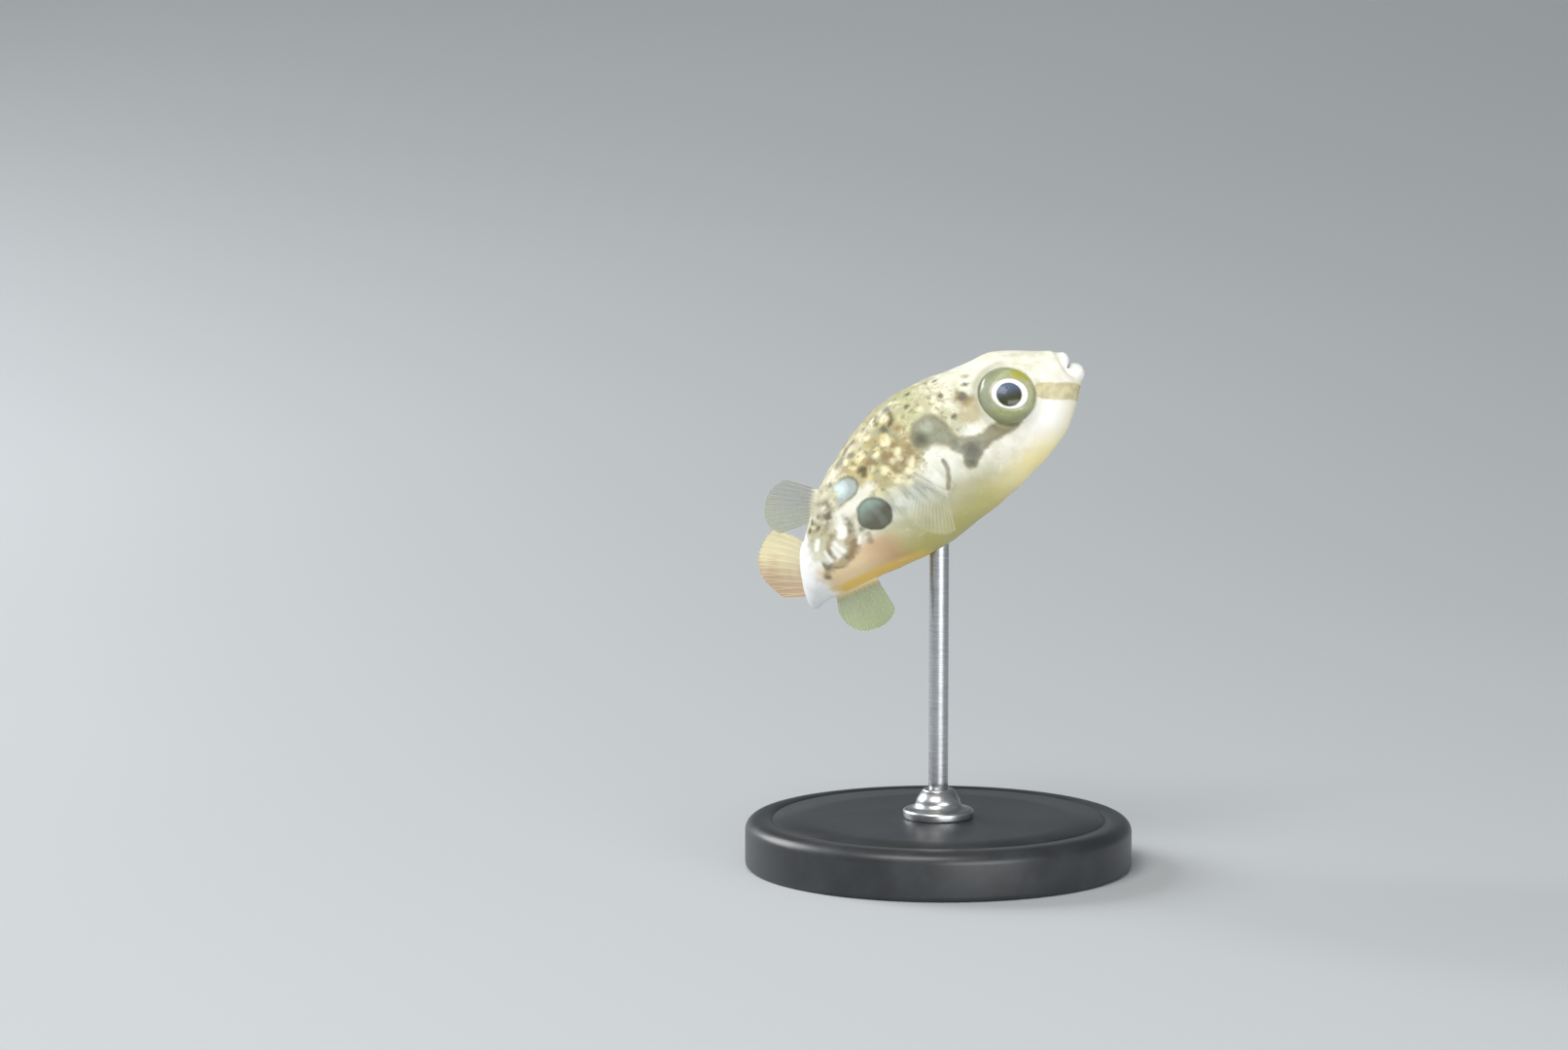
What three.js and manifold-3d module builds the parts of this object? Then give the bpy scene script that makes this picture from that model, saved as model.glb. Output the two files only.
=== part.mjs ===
// Dwarf freshwater puffer at life size, swimming with its head up and its tail swept to its left,
// held over a round base by one thin rod. Units are millimetres and degrees, with +Z up.
//
// The fish is built straight along its own axis: "at" runs from the lips (0) towards the tail,
// "across" runs to its left and "up" to its back. The spine then bends and twists that space,
// and one group turns the whole fish into its pose over the stand.

import * as THREE from 'three';
import { mergeVertices } from 'three/addons/utils/BufferGeometryUtils.js';
import Module from 'manifold-3d';

const wasm = await Module();
wasm.setup();

const { degToRad, smoothstep, lerp } = THREE.MathUtils;

// ---------------------------------------------------------------- driving dimensions

const cutGap = 0.05; // clearance that a cut piece keeps to its neighbour

// Pose over the stand
const swimHeight = 24; // middle of the fish over the floor
const noseUp = 43.3;
const headingLeft = 5.7;
const leanOver = 1.7;
const rodFromMiddle = new THREE.Vector2(1.0, 0.1); // the rod's place from the fish's middle

// Body: heights over and under the axis and half widths, at stations back from the lips
const bodyMiddle = 12;
const snoutStart = 0.7; // where the head's flesh begins behind the lips
const snoutRounding = 0.9;
const headEnd = 10.4;
const trunkEnd = 17.0;
const stalkEnd = 24.2;
const stalkRounding = 1.1;
const mouthDrop = 0.9; // how far the mouth sits under the axis
const mouthDropEnd = 7.2;
const squareness = 2.2; // 2 is an ellipse, more fills the corners of the section
const stations = [
  { at: 0.0, back: 0.7, belly: 0.8, side: 0.8 },
  { at: 1.4, back: 1.8, belly: 1.9, side: 1.8 },
  { at: 3.4, back: 3.3, belly: 3.3, side: 2.7 },
  { at: 5.3, back: 3.7, belly: 4.0, side: 3.3 },
  { at: 7.9, back: 4.6, belly: 4.3, side: 3.7 },
  { at: 11.0, back: 5.3, belly: 4.1, side: 3.8 },
  { at: 14.4, back: 4.85, belly: 3.65, side: 3.3 },
  { at: 17.3, back: 4.0, belly: 2.6, side: 2.5 },
  { at: 19.7, back: 2.9, belly: 1.95, side: 1.7 },
  { at: 21.8, back: 2.1, belly: 2.0, side: 1.0 },
  { at: 24.0, back: 2.1, belly: 2.7, side: 0.5 },
];

// Spine: the tail sweeps left and rolls as it does so
const sweepAngle = 82;
const sweepStart = 15.6;
const sweepEnd = 23.8;
const rollAngle = -36;
const rollStart = 10.8;
const rollEnd = 22.8;
const spineStep = 0.05;
const spineLength = 26;

// Eyes
const eyeAt = 4.65;
const eyeUp = 0.95;
const eyeRadius = 1.85;
const eyeBulge = 1.15; // half thickness along the line of sight
const eyeSink = 0.45; // how far the eyeball's middle lies under the skin
const eyeForward = 18;
const eyeUpward = 27;

// Lips: two crescents that meet at the corners of the mouth
const mouthHeight = -0.75;
const mouthHalfWidth = 1.1;
const lipFront = 0.75;
const lipCornerBack = 0.75; // the corners lie this much farther back
const upperLip = { rise: 0.5, radius: 0.45 };
const lowerLip = { rise: -0.6, radius: 0.58 };
const lipCornerShare = 0.45; // thickness near the corner, as a share of the middle

// Fins. On the back (edge 1) and belly (edge -1) a ray leans back from upright by its angle. On the
// tail and flanks a ray lifts from straight back by its angle. Losses shorten the outer rays.
const finThickness = 0.5;
const finRootDepth = 0.7; // how far a fin runs into the flesh before it is cut back
const dorsalFin = {
  edge: 1, from: 17.2, to: 19.8, firstRay: 40, lastRay: 72,
  length: 3.75, peak: 0.5, frontLoss: 0.33, rearLoss: 0.3,
};
const analFin = {
  edge: -1, from: 17.9, to: 20.4, firstRay: -3, lastRay: 22,
  length: 3.0, peak: 0.35, frontLoss: 0.22, rearLoss: 0.6,
};
const marginRounding = 2.4; // higher is a squarer outer margin
const caudalFin = {
  rootAt: 23.0, rootHalf: 1.6, firstRay: 14, lastRay: -1, length: 6.7, loss: 0.26, curl: 0.28,
};
const pectoralFin = {
  topAt: 12.0, topUp: 1.3, bottomAt: 11.3, bottomUp: -0.7,
  firstRay: -32, lastRay: -58, length: 3.3, loss: 0.2, spread: 22,
};

// Stand
const baseRadius = 12;
const baseHeight = 3;
const baseEdge = 0.5;
const bossHeight = 1.8;
const bossRadius = 2.2;
const rodRadius = 0.6;

// ---------------------------------------------------------------- closed meshes and cuts

function closedGeometry(points, faces) {
  const geometry = new THREE.BufferGeometry().setFromPoints(points);
  geometry.setIndex(faces.flat());
  if (signedVolume(geometry) < 0) {
    geometry.setIndex(faces.flatMap(([a, b, c]) => [a, c, b]));
  }
  return geometry;
}

function signedVolume(geometry) {
  const position = geometry.getAttribute('position');
  const index = geometry.getIndex();
  const corner = [0, 1, 2].map(() => new THREE.Vector3());
  let volume = 0;
  for (let i = 0; i < index.count; i += 3) {
    corner.forEach((p, k) => p.fromBufferAttribute(position, index.getX(i + k)));
    volume += corner[0].dot(corner[1].clone().cross(corner[2])) / 6;
  }
  return volume;
}

function toManifold(geometry) {
  const plain = geometry.clone();
  plain.deleteAttribute('normal');
  plain.deleteAttribute('uv');
  const merged = mergeVertices(plain, 1e-5);
  return new wasm.Manifold(new wasm.Mesh({
    numProp: 3,
    vertProperties: new Float32Array(merged.getAttribute('position').array),
    triVerts: new Uint32Array(merged.getIndex().array),
  }));
}

function cut(geometry, ...tools) {
  let solid = toManifold(geometry);
  for (const tool of tools) solid = solid.subtract(toManifold(tool));
  const mesh = solid.getMesh();
  const result = new THREE.BufferGeometry();
  result.setAttribute('position', new THREE.Float32BufferAttribute(mesh.vertProperties, 3));
  result.setIndex(new THREE.Uint32BufferAttribute(mesh.triVerts, 1));
  return result;
}

// Rings of equal count, joined in order, with a point closing each end
function ringSolid(rings, startPoint, endPoint) {
  const points = [...rings.flat(), startPoint, endPoint];
  const count = rings[0].length;
  const faces = [];
  for (let j = 0; j < count; j += 1) {
    const next = (j + 1) % count;
    for (let i = 0; i < rings.length - 1; i += 1) {
      const a = i * count;
      const b = a + count;
      faces.push([a + j, a + next, b + next], [a + j, b + next, b + j]);
    }
    const last = (rings.length - 1) * count;
    faces.push([points.length - 2, next, j], [points.length - 1, last + j, last + next]);
  }
  return closedGeometry(points, faces);
}

// A plate of even thickness about a curved sheet, where sheet(u, v) gives a point for u and v in 0 to 1
function plateSolid(sheet, columns, rows, thickness) {
  const small = 1e-3;
  const sides = [1, -1].map((side) => {
    const layer = [];
    for (let i = 0; i <= columns; i += 1) {
      for (let j = 0; j <= rows; j += 1) {
        const u = i / columns;
        const v = j / rows;
        const alongU = sheet(u + small, v).sub(sheet(u - small, v));
        const alongV = sheet(u, v + small).sub(sheet(u, v - small));
        const normal = alongU.cross(alongV).normalize();
        layer.push(sheet(u, v).addScaledVector(normal, side * thickness / 2));
      }
    }
    return layer;
  });
  const perLayer = sides[0].length;
  const at = (i, j, layer) => layer * perLayer + i * (rows + 1) + j;
  const faces = [];
  const addQuad = (a, b, c, d) => faces.push([a, b, c], [a, c, d]);
  for (let i = 0; i < columns; i += 1) {
    for (let j = 0; j < rows; j += 1) {
      addQuad(at(i, j, 0), at(i + 1, j, 0), at(i + 1, j + 1, 0), at(i, j + 1, 0));
      addQuad(at(i, j, 1), at(i, j + 1, 1), at(i + 1, j + 1, 1), at(i + 1, j, 1));
    }
  }
  const rim = [];
  for (let i = 0; i < columns; i += 1) rim.push([i, 0]);
  for (let j = 0; j < rows; j += 1) rim.push([columns, j]);
  for (let i = columns; i > 0; i -= 1) rim.push([i, rows]);
  for (let j = rows; j > 0; j -= 1) rim.push([0, j]);
  rim.forEach(([i, j], k) => {
    const [nextI, nextJ] = rim[(k + 1) % rim.length];
    addQuad(at(i, j, 0), at(i, j, 1), at(nextI, nextJ, 1), at(nextI, nextJ, 0));
  });
  return closedGeometry(sides.flat(), faces);
}

// ---------------------------------------------------------------- the body's own space

// Smooth curve through the stations, with no bending at its ends
function throughStations(key) {
  const x = stations.map((station) => station.at);
  const y = stations.map((station) => station[key]);
  const last = x.length - 1;
  const factor = new Array(last + 1).fill(0);
  const bend = new Array(last + 1).fill(0);
  for (let i = 1; i < last; i += 1) {
    const left = x[i] - x[i - 1];
    const right = x[i + 1] - x[i];
    const slopeChange = (y[i + 1] - y[i]) / right - (y[i] - y[i - 1]) / left;
    const pivot = 2 * (left + right) + left * factor[i - 1];
    factor[i] = -right / pivot;
    bend[i] = (6 * slopeChange - left * bend[i - 1]) / pivot;
  }
  for (let i = last - 1; i > 0; i -= 1) bend[i] += factor[i] * bend[i + 1];
  return (at) => {
    let k = 0;
    while (k < last - 1 && at > x[k + 1]) k += 1;
    const span = x[k + 1] - x[k];
    const a = (x[k + 1] - at) / span;
    const b = (at - x[k]) / span;
    const curved = ((a ** 3 - a) * bend[k] + (b ** 3 - b) * bend[k + 1]) * span ** 2 / 6;
    return a * y[k] + b * y[k + 1] + curved;
  };
}

const backHeight = throughStations('back');
const bellyDepth = throughStations('belly');
const sideWidth = throughStations('side');

function axisHeight(at) {
  return -mouthDrop * (1 - smoothstep(at, 0, mouthDropEnd));
}

// 0 at the very ends of the flesh and 1 along the rest, rounding like a quarter circle
function endRounding(at) {
  const front = THREE.MathUtils.clamp((at - snoutStart) / snoutRounding, 0, 1);
  const rear = THREE.MathUtils.clamp((stalkEnd - at) / stalkRounding, 0, 1);
  return Math.sqrt(1 - (1 - front) ** 2) * Math.sqrt(1 - (1 - rear) ** 2);
}

// Frames along the swept and rolled spine
function spineFrames() {
  const frames = [];
  const place = new THREE.Vector3();
  for (let at = 0; at <= spineLength + spineStep / 2; at += spineStep) {
    const sweep = degToRad(sweepAngle) * smoothstep(at, sweepStart, sweepEnd);
    const roll = degToRad(rollAngle) * smoothstep(at, rollStart, rollEnd);
    const tailward = new THREE.Vector3(-Math.cos(sweep), Math.sin(sweep), 0);
    const left = new THREE.Vector3(Math.sin(sweep), Math.cos(sweep), 0).multiplyScalar(Math.cos(roll));
    left.z = Math.sin(roll);
    const up = left.clone().cross(tailward);
    frames.push({ place: place.clone(), tailward, left, up });
    place.addScaledVector(tailward, spineStep);
  }
  return frames;
}

const frames = spineFrames();

function frameAt(at) {
  const position = THREE.MathUtils.clamp(at / spineStep, 0, frames.length - 1.001);
  const k = Math.floor(position);
  const mix = (key) => frames[k][key].clone().lerp(frames[k + 1][key], position - k);
  return { place: mix('place'), tailward: mix('tailward'), left: mix('left'), up: mix('up') };
}

function fishPoint(at, across, up) {
  const frame = frameAt(at);
  return frame.place.addScaledVector(frame.left, across).addScaledVector(frame.up, up);
}

// A sine or cosine made fuller towards the corners of the section
function squared(value) {
  return Math.sign(value) * Math.abs(value) ** (2 / squareness);
}

// Angle 0 is the left flank, 90 the back, 180 the right flank and 270 the belly
function skinPoint(at, angle, grow = 0) {
  const rounding = endRounding(at);
  const height = angle < Math.PI ? backHeight(at) : bellyDepth(at);
  const across = squared(Math.cos(angle)) * (sideWidth(at) * rounding + grow);
  const up = axisHeight(at) + squared(Math.sin(angle)) * (height * rounding + grow);
  return fishPoint(at, across, up);
}

// The flank's skin at a height over the axis; side is 1 on the left and -1 on the right
function flankPoint(at, up, side) {
  const height = up > axisHeight(at) ? backHeight(at) : bellyDepth(at);
  const share = Math.abs(up - axisHeight(at)) / height;
  const across = sideWidth(at) * (1 - share ** squareness) ** (1 / squareness);
  return fishPoint(at, side * across, up);
}

// ---------------------------------------------------------------- flesh

const sectionPoints = 36;
const sectionAngles = Array.from({ length: sectionPoints }, (_, j) => 2 * Math.PI * j / sectionPoints);

function fleshSolid(from, to, steps, grow = 0) {
  const roundedFront = from <= snoutStart;
  const roundedRear = to >= stalkEnd;
  const rings = [];
  for (let i = 0; i <= steps; i += 1) {
    const share = i / steps;
    // Closer rings where the flesh rounds off
    const eased = roundedFront ? share ** 1.7 : roundedRear ? 1 - (1 - share) ** 1.7 : share;
    const at = lerp(from, to, eased);
    if ((roundedFront && i === 0) || (roundedRear && i === steps)) continue;
    rings.push(sectionAngles.map((angle) => skinPoint(at, angle, grow)));
  }
  const start = fishPoint(from - (roundedFront ? grow : 0), 0, axisHeight(from));
  const end = fishPoint(to + (roundedRear ? grow : 0), 0, axisHeight(to));
  return ringSolid(rings, start, end);
}

// Each length of the body, and the same length grown by the clearance as a cutting tool
const headFlesh = (grow) => fleshSolid(snoutStart, headEnd, 20, grow);
const trunkFlesh = (grow) => fleshSolid(headEnd + cutGap, trunkEnd - cutGap, 12, grow);
const stalkFlesh = (grow) => fleshSolid(trunkEnd, stalkEnd, 14, grow);
const clearHead = headFlesh(cutGap);
const clearTrunk = trunkFlesh(cutGap);
const clearStalk = stalkFlesh(cutGap);

// ---------------------------------------------------------------- eyes

function eyeFrame(side) {
  const frame = frameAt(eyeAt);
  const outward = frame.left.clone().multiplyScalar(side);
  const forward = frame.tailward.clone().negate();
  const sight = outward
    .addScaledVector(forward, Math.tan(degToRad(eyeForward)))
    .addScaledVector(frame.up, Math.tan(degToRad(eyeUpward)))
    .normalize();
  const middle = flankPoint(eyeAt, eyeUp, side).addScaledVector(sight, -eyeSink);
  const turn = new THREE.Quaternion().setFromUnitVectors(new THREE.Vector3(0, 0, 1), sight);
  return { middle, turn };
}

function eyeball(side, grow = 0) {
  const { middle, turn } = eyeFrame(side);
  const geometry = new THREE.SphereGeometry(1, 20, 12);
  geometry.rotateX(Math.PI / 2);
  geometry.scale(eyeRadius + grow, eyeRadius + grow, eyeBulge + grow);
  geometry.applyQuaternion(turn);
  geometry.translate(middle.x, middle.y, middle.z);
  return geometry;
}

// ---------------------------------------------------------------- lips

function lipSolid({ rise, radius }, grow = 0) {
  const steps = 18;
  const sectionCount = 14;
  const rings = [];
  const middleAt = (turn) => {
    const at = lipFront + lipCornerBack * (1 - Math.sin(turn));
    return fishPoint(at, mouthHalfWidth * Math.cos(turn), mouthHeight + rise * Math.sin(turn));
  };
  for (let i = 1; i < steps; i += 1) {
    const turn = Math.PI * i / steps;
    const middle = middleAt(turn);
    const along = middleAt(turn + 0.01).sub(middleAt(turn - 0.01)).normalize();
    const inward = new THREE.Vector3(0, 0, 1).cross(along).normalize();
    const other = along.clone().cross(inward);
    const taper = Math.sqrt(Math.min(1, i / 2, (steps - i) / 2));
    const thick = radius * lerp(lipCornerShare, 1, Math.sin(turn)) * taper + grow;
    const ring = [];
    for (let j = 0; j < sectionCount; j += 1) {
      const angle = 2 * Math.PI * j / sectionCount;
      ring.push(middle.clone()
        .addScaledVector(inward, thick * Math.cos(angle))
        .addScaledVector(other, thick * Math.sin(angle)));
    }
    rings.push(ring);
  }
  return ringSolid(rings, middleAt(0), middleAt(Math.PI));
}

// ---------------------------------------------------------------- fins

// How much of its full length a ray keeps, for rays counted 0 to 1 from the front
function rayShare(u, peak, frontLoss, rearLoss) {
  const away = u < peak ? (peak - u) / peak : (u - peak) / (1 - peak);
  const loss = u < peak ? frontLoss : rearLoss;
  return 1 - loss * Math.abs(away) ** marginRounding;
}

// Dorsal and anal fins: a flat fan of rays from the midline of the back or belly
function midlineFin(fin) {
  const frame = frameAt((fin.from + fin.to) / 2);
  const height = fin.edge > 0 ? backHeight : bellyDepth;
  const sheet = (u, v) => {
    const at = lerp(fin.from, fin.to, u);
    const lean = degToRad(lerp(fin.firstRay, fin.lastRay, u));
    const ray = frame.up.clone().multiplyScalar(fin.edge * Math.cos(lean))
      .addScaledVector(frame.tailward, Math.sin(lean));
    const length = fin.length * rayShare(u, fin.peak, fin.frontLoss, fin.rearLoss);
    const reach = lerp(-finRootDepth, length, v);
    const root = fishPoint(at, 0, axisHeight(at) + fin.edge * (height(at) + Math.min(reach, 0)));
    return root.addScaledVector(ray, Math.max(reach, 0));
  };
  return cut(plateSolid(sheet, 14, 5, finThickness), clearStalk);
}

// Tail fin: rays from the end of the stalk that curl back against the sweep
function tailFin() {
  const { rootAt, rootHalf, firstRay, lastRay, length, loss, curl } = caudalFin;
  const frame = frameAt(rootAt);
  const sheet = (u, v) => {
    const lean = degToRad(lerp(firstRay, lastRay, u));
    const reach = length * rayShare(u, 0.5, loss, loss) * v;
    const root = fishPoint(rootAt, 0, lerp(rootHalf, -rootHalf, u));
    return root
      .addScaledVector(frame.tailward, Math.cos(lean) * reach)
      .addScaledVector(frame.up, Math.sin(lean) * reach)
      .addScaledVector(frame.left, -curl * reach * reach / length);
  };
  return cut(plateSolid(sheet, 14, 7, finThickness), clearStalk);
}

// Pectoral fins: rays that spread from an upright root behind the gill opening
function flankFin(side) {
  const { topAt, topUp, bottomAt, bottomUp, firstRay, lastRay, length, loss, spread } = pectoralFin;
  const frame = frameAt(topAt);
  const sheet = (u, v) => {
    const lean = degToRad(lerp(firstRay, lastRay, u));
    const ray = frame.tailward.clone().multiplyScalar(Math.cos(lean))
      .addScaledVector(frame.up, Math.sin(lean))
      .addScaledVector(frame.left, side * Math.tan(degToRad(spread)))
      .normalize();
    const reach = length * rayShare(u, 0.5, loss, loss);
    const root = flankPoint(lerp(topAt, bottomAt, u), lerp(topUp, bottomUp, u), side);
    return root.addScaledVector(ray, lerp(-finRootDepth, reach, v));
  };
  return cut(plateSolid(sheet, 12, 4, finThickness), clearTrunk);
}

// ---------------------------------------------------------------- the parts and their colours

function part(name, geometry, color, roughness = 0.45, metalness = 0) {
  const mesh = new THREE.Mesh(geometry, new THREE.MeshStandardMaterial({ color, roughness, metalness }));
  mesh.name = name;
  return mesh;
}

const fish = new THREE.Group();
const sockets = [-1, 1].map((side) => eyeball(side, cutGap));
const upperLipSolid = cut(lipSolid(upperLip), clearHead);
const clearUpperLip = lipSolid(upperLip, cutGap);

fish.add(
  part('head', cut(headFlesh(0), ...sockets), '#e6e2c8'),
  part('trunk', trunkFlesh(0), '#dcd6b4'),
  part('tail_stalk', stalkFlesh(0), '#d9c7a2'),
  part('lip_upper', upperLipSolid, '#f2efe6'),
  part('lip_lower', cut(lipSolid(lowerLip), clearHead, clearUpperLip), '#f2efe6'),
  part('eye_right', eyeball(-1), '#2a3038', 0.1),
  part('eye_left', eyeball(1), '#2a3038', 0.1),
  part('fin_dorsal', midlineFin(dorsalFin), '#b9bcab'),
  part('fin_anal', midlineFin(analFin), '#a8b48a'),
  part('fin_caudal', tailFin(), '#e0c795'),
  part('fin_pectoral_right', flankFin(-1), '#d6dcd4'),
  part('fin_pectoral_left', flankFin(1), '#d6dcd4'),
);

// Turn about the fish's middle: lean, then nose up, then heading
const pose = new THREE.Matrix4()
  .makeRotationZ(degToRad(headingLeft))
  .multiply(new THREE.Matrix4().makeRotationY(degToRad(-noseUp)))
  .multiply(new THREE.Matrix4().makeRotationX(degToRad(leanOver)))
  .multiply(new THREE.Matrix4().makeTranslation(bodyMiddle, 0, 0))
  .premultiply(new THREE.Matrix4().makeTranslation(-rodFromMiddle.x, -rodFromMiddle.y, swimHeight));
pose.decompose(fish.position, fish.quaternion, fish.scale);

// ---------------------------------------------------------------- stand

function lathe(profile, segments) {
  const points = profile.map(([radius, height]) => new THREE.Vector2(radius, height));
  return new THREE.LatheGeometry(points, segments).rotateX(Math.PI / 2);
}

const baseSolid = lathe([
  [0, 0],
  [baseRadius - baseEdge, 0],
  [baseRadius, baseEdge],
  [baseRadius, baseHeight - baseEdge],
  [baseRadius - baseEdge, baseHeight],
  [0, baseHeight],
], 72);

const bossTop = baseHeight + bossHeight;
const bossSolid = lathe([
  [0, baseHeight],
  [bossRadius, baseHeight],
  [bossRadius, baseHeight + bossHeight * 0.3],
  [bossRadius * 0.75, baseHeight + bossHeight * 0.5],
  [rodRadius * 1.7, baseHeight + bossHeight * 0.8],
  [rodRadius * 1.5, bossTop],
  [0, bossTop],
], 32);

const rodTop = swimHeight; // reaches into the belly before it is cut back
const rodBlank = lathe([[0, bossTop], [rodRadius, bossTop], [rodRadius, rodTop], [0, rodTop]], 20);
const poisedTrunk = clearTrunk.clone().applyMatrix4(pose);

const group = new THREE.Group();
group.add(
  fish,
  part('stand_base', baseSolid, '#1d1e20', 0.4, 0.3),
  part('stand_boss', bossSolid, '#b9bcc0', 0.25, 1),
  part('stand_rod', cut(rodBlank, poisedTrunk), '#b9bcc0', 0.25, 1),
);

export default group;
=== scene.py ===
import bpy
import numpy as np
from mathutils import Matrix, Vector


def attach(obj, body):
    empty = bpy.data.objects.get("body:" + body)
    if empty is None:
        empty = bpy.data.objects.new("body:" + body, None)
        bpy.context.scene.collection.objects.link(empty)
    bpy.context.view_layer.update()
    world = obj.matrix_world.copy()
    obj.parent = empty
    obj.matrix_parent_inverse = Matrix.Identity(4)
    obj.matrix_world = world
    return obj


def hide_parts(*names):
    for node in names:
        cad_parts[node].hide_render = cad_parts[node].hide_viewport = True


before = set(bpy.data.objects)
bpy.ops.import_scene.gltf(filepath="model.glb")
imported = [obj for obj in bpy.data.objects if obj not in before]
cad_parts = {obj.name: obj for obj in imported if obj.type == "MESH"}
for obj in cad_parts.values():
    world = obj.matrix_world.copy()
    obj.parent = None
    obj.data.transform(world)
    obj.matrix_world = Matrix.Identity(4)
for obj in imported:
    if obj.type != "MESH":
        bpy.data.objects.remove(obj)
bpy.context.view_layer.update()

scene = bpy.context.scene
mm = 0.001  # lengths below are millimetres, and become metres as a mesh is made

view = {
    "aimAt": (-1.0, -0.1, 24.0),  # middle of the fish
    "aimPixel": (949.6, 494.4),  # where that middle lands in the frame
    "image": (1613, 1080),
    "lookDown": 6.0,
    "distance": 268.4,
    "lens": 100.0,
    "sensor": 36.0,
    "nearest": 0.01,
}


def aimCamera():
    # stands back along the line of sight, then turns so that the fish's middle lands on its pixel
    tilt = np.radians(view["lookDown"])
    ahead, over = Vector((0, np.cos(tilt), -np.sin(tilt))), Vector((0, np.sin(tilt), np.cos(tilt)))
    width, height = view["image"]
    focal = width * view["lens"] / view["sensor"]
    offAcross = (view["aimPixel"][0] - width / 2) / focal
    offUp = (height / 2 - view["aimPixel"][1]) / focal
    axis = (ahead - Vector((1, 0, 0)) * offAcross - over * offUp).normalized()
    right = axis.cross(Vector((0, 0, 1))).normalized()
    data = bpy.data.cameras.new("camera")
    data.lens, data.sensor_width, data.clip_start = view["lens"], view["sensor"], view["nearest"]
    camera = bpy.data.objects.new("camera", data)
    turn = Matrix((right, right.cross(axis), -axis)).transposed().to_4x4()
    camera.matrix_world = Matrix.Translation((Vector(view["aimAt"]) - ahead * view["distance"]) * mm) @ turn
    scene.collection.objects.link(camera)
    scene.camera = camera


lamps = {  # place and size in metres, power in watts; each lamp faces the fish
    "key": {"place": (-0.11, -0.28, 0.42), "size": (0.30, 0.24), "power": 1.72, "tint": (1.0, 0.985, 0.95)},
    "fill": {"place": (0.22, -0.47, 0.085), "size": (0.40, 0.16), "power": 1.55, "tint": (0.98, 0.99, 1.0)},
    "rim": {"place": (-0.32, 0.16, 0.20), "size": (0.24, 0.20), "power": 1.4, "tint": (1.0, 1.0, 1.0)},
}
surround = {"Color": (0.86, 0.90, 0.94, 1), "Strength": 0.26}


def hangLamps():
    for name, lamp in lamps.items():
        data = bpy.data.lights.new(name, "AREA")
        data.shape = "RECTANGLE"
        data.size, data.size_y = lamp["size"]
        data.energy, data.color = lamp["power"], lamp["tint"]
        lampObject = bpy.data.objects.new(name, data)
        aim = Vector(view["aimAt"]) * mm - Vector(lamp["place"])
        lampObject.rotation_euler = aim.to_track_quat("-Z", "Y").to_euler()
        lampObject.location = lamp["place"]
        scene.collection.objects.link(lampObject)
    world = bpy.data.worlds.new("studio")
    world.use_nodes = True
    for key, value in surround.items():
        world.node_tree.nodes["Background"].inputs[key].default_value = value
    scene.world = world
    scene.view_settings.view_transform = "Standard"


def plug(tree, entry, value):
    # links a wire into a socket, or sets the socket to a plain value
    if isinstance(value, Wire):
        tree.links.new(value.socket, entry)
    else:
        entry.default_value = value


def operator(operation, reflected=False):
    # a method of Wire that adds one Math node; a reflected one has its two sides swapped
    def method(wire, other):
        node = wire.tree.nodes.new("ShaderNodeMath")
        node.operation = operation
        for entry, value in zip(node.inputs, (other, wire) if reflected else (wire, other)):
            plug(wire.tree, entry, value)
        return Wire(wire.tree, node.outputs[0])
    return method


class Wire:
    # a socket that takes arithmetic
    def __init__(self, tree, socket):
        self.tree, self.socket = tree, socket

    __add__ = __radd__ = operator("ADD")
    __sub__, __rsub__ = operator("SUBTRACT"), operator("SUBTRACT", True)
    __mul__ = __rmul__ = operator("MULTIPLY")
    least = operator("MINIMUM")


def tint(colour):
    # "#rrggbb" as seen becomes the linear colour that a shader takes; a wire stays as it is
    if isinstance(colour, Wire):
        return colour
    seen = np.array([int(colour[k:k + 2], 16) / 255 for k in (1, 3, 5)])
    linear = np.where(seen <= 0.04045, seen / 12.92, ((seen + 0.055) / 1.055) ** 2.4)
    return (*map(float, linear), 1.0)


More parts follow.
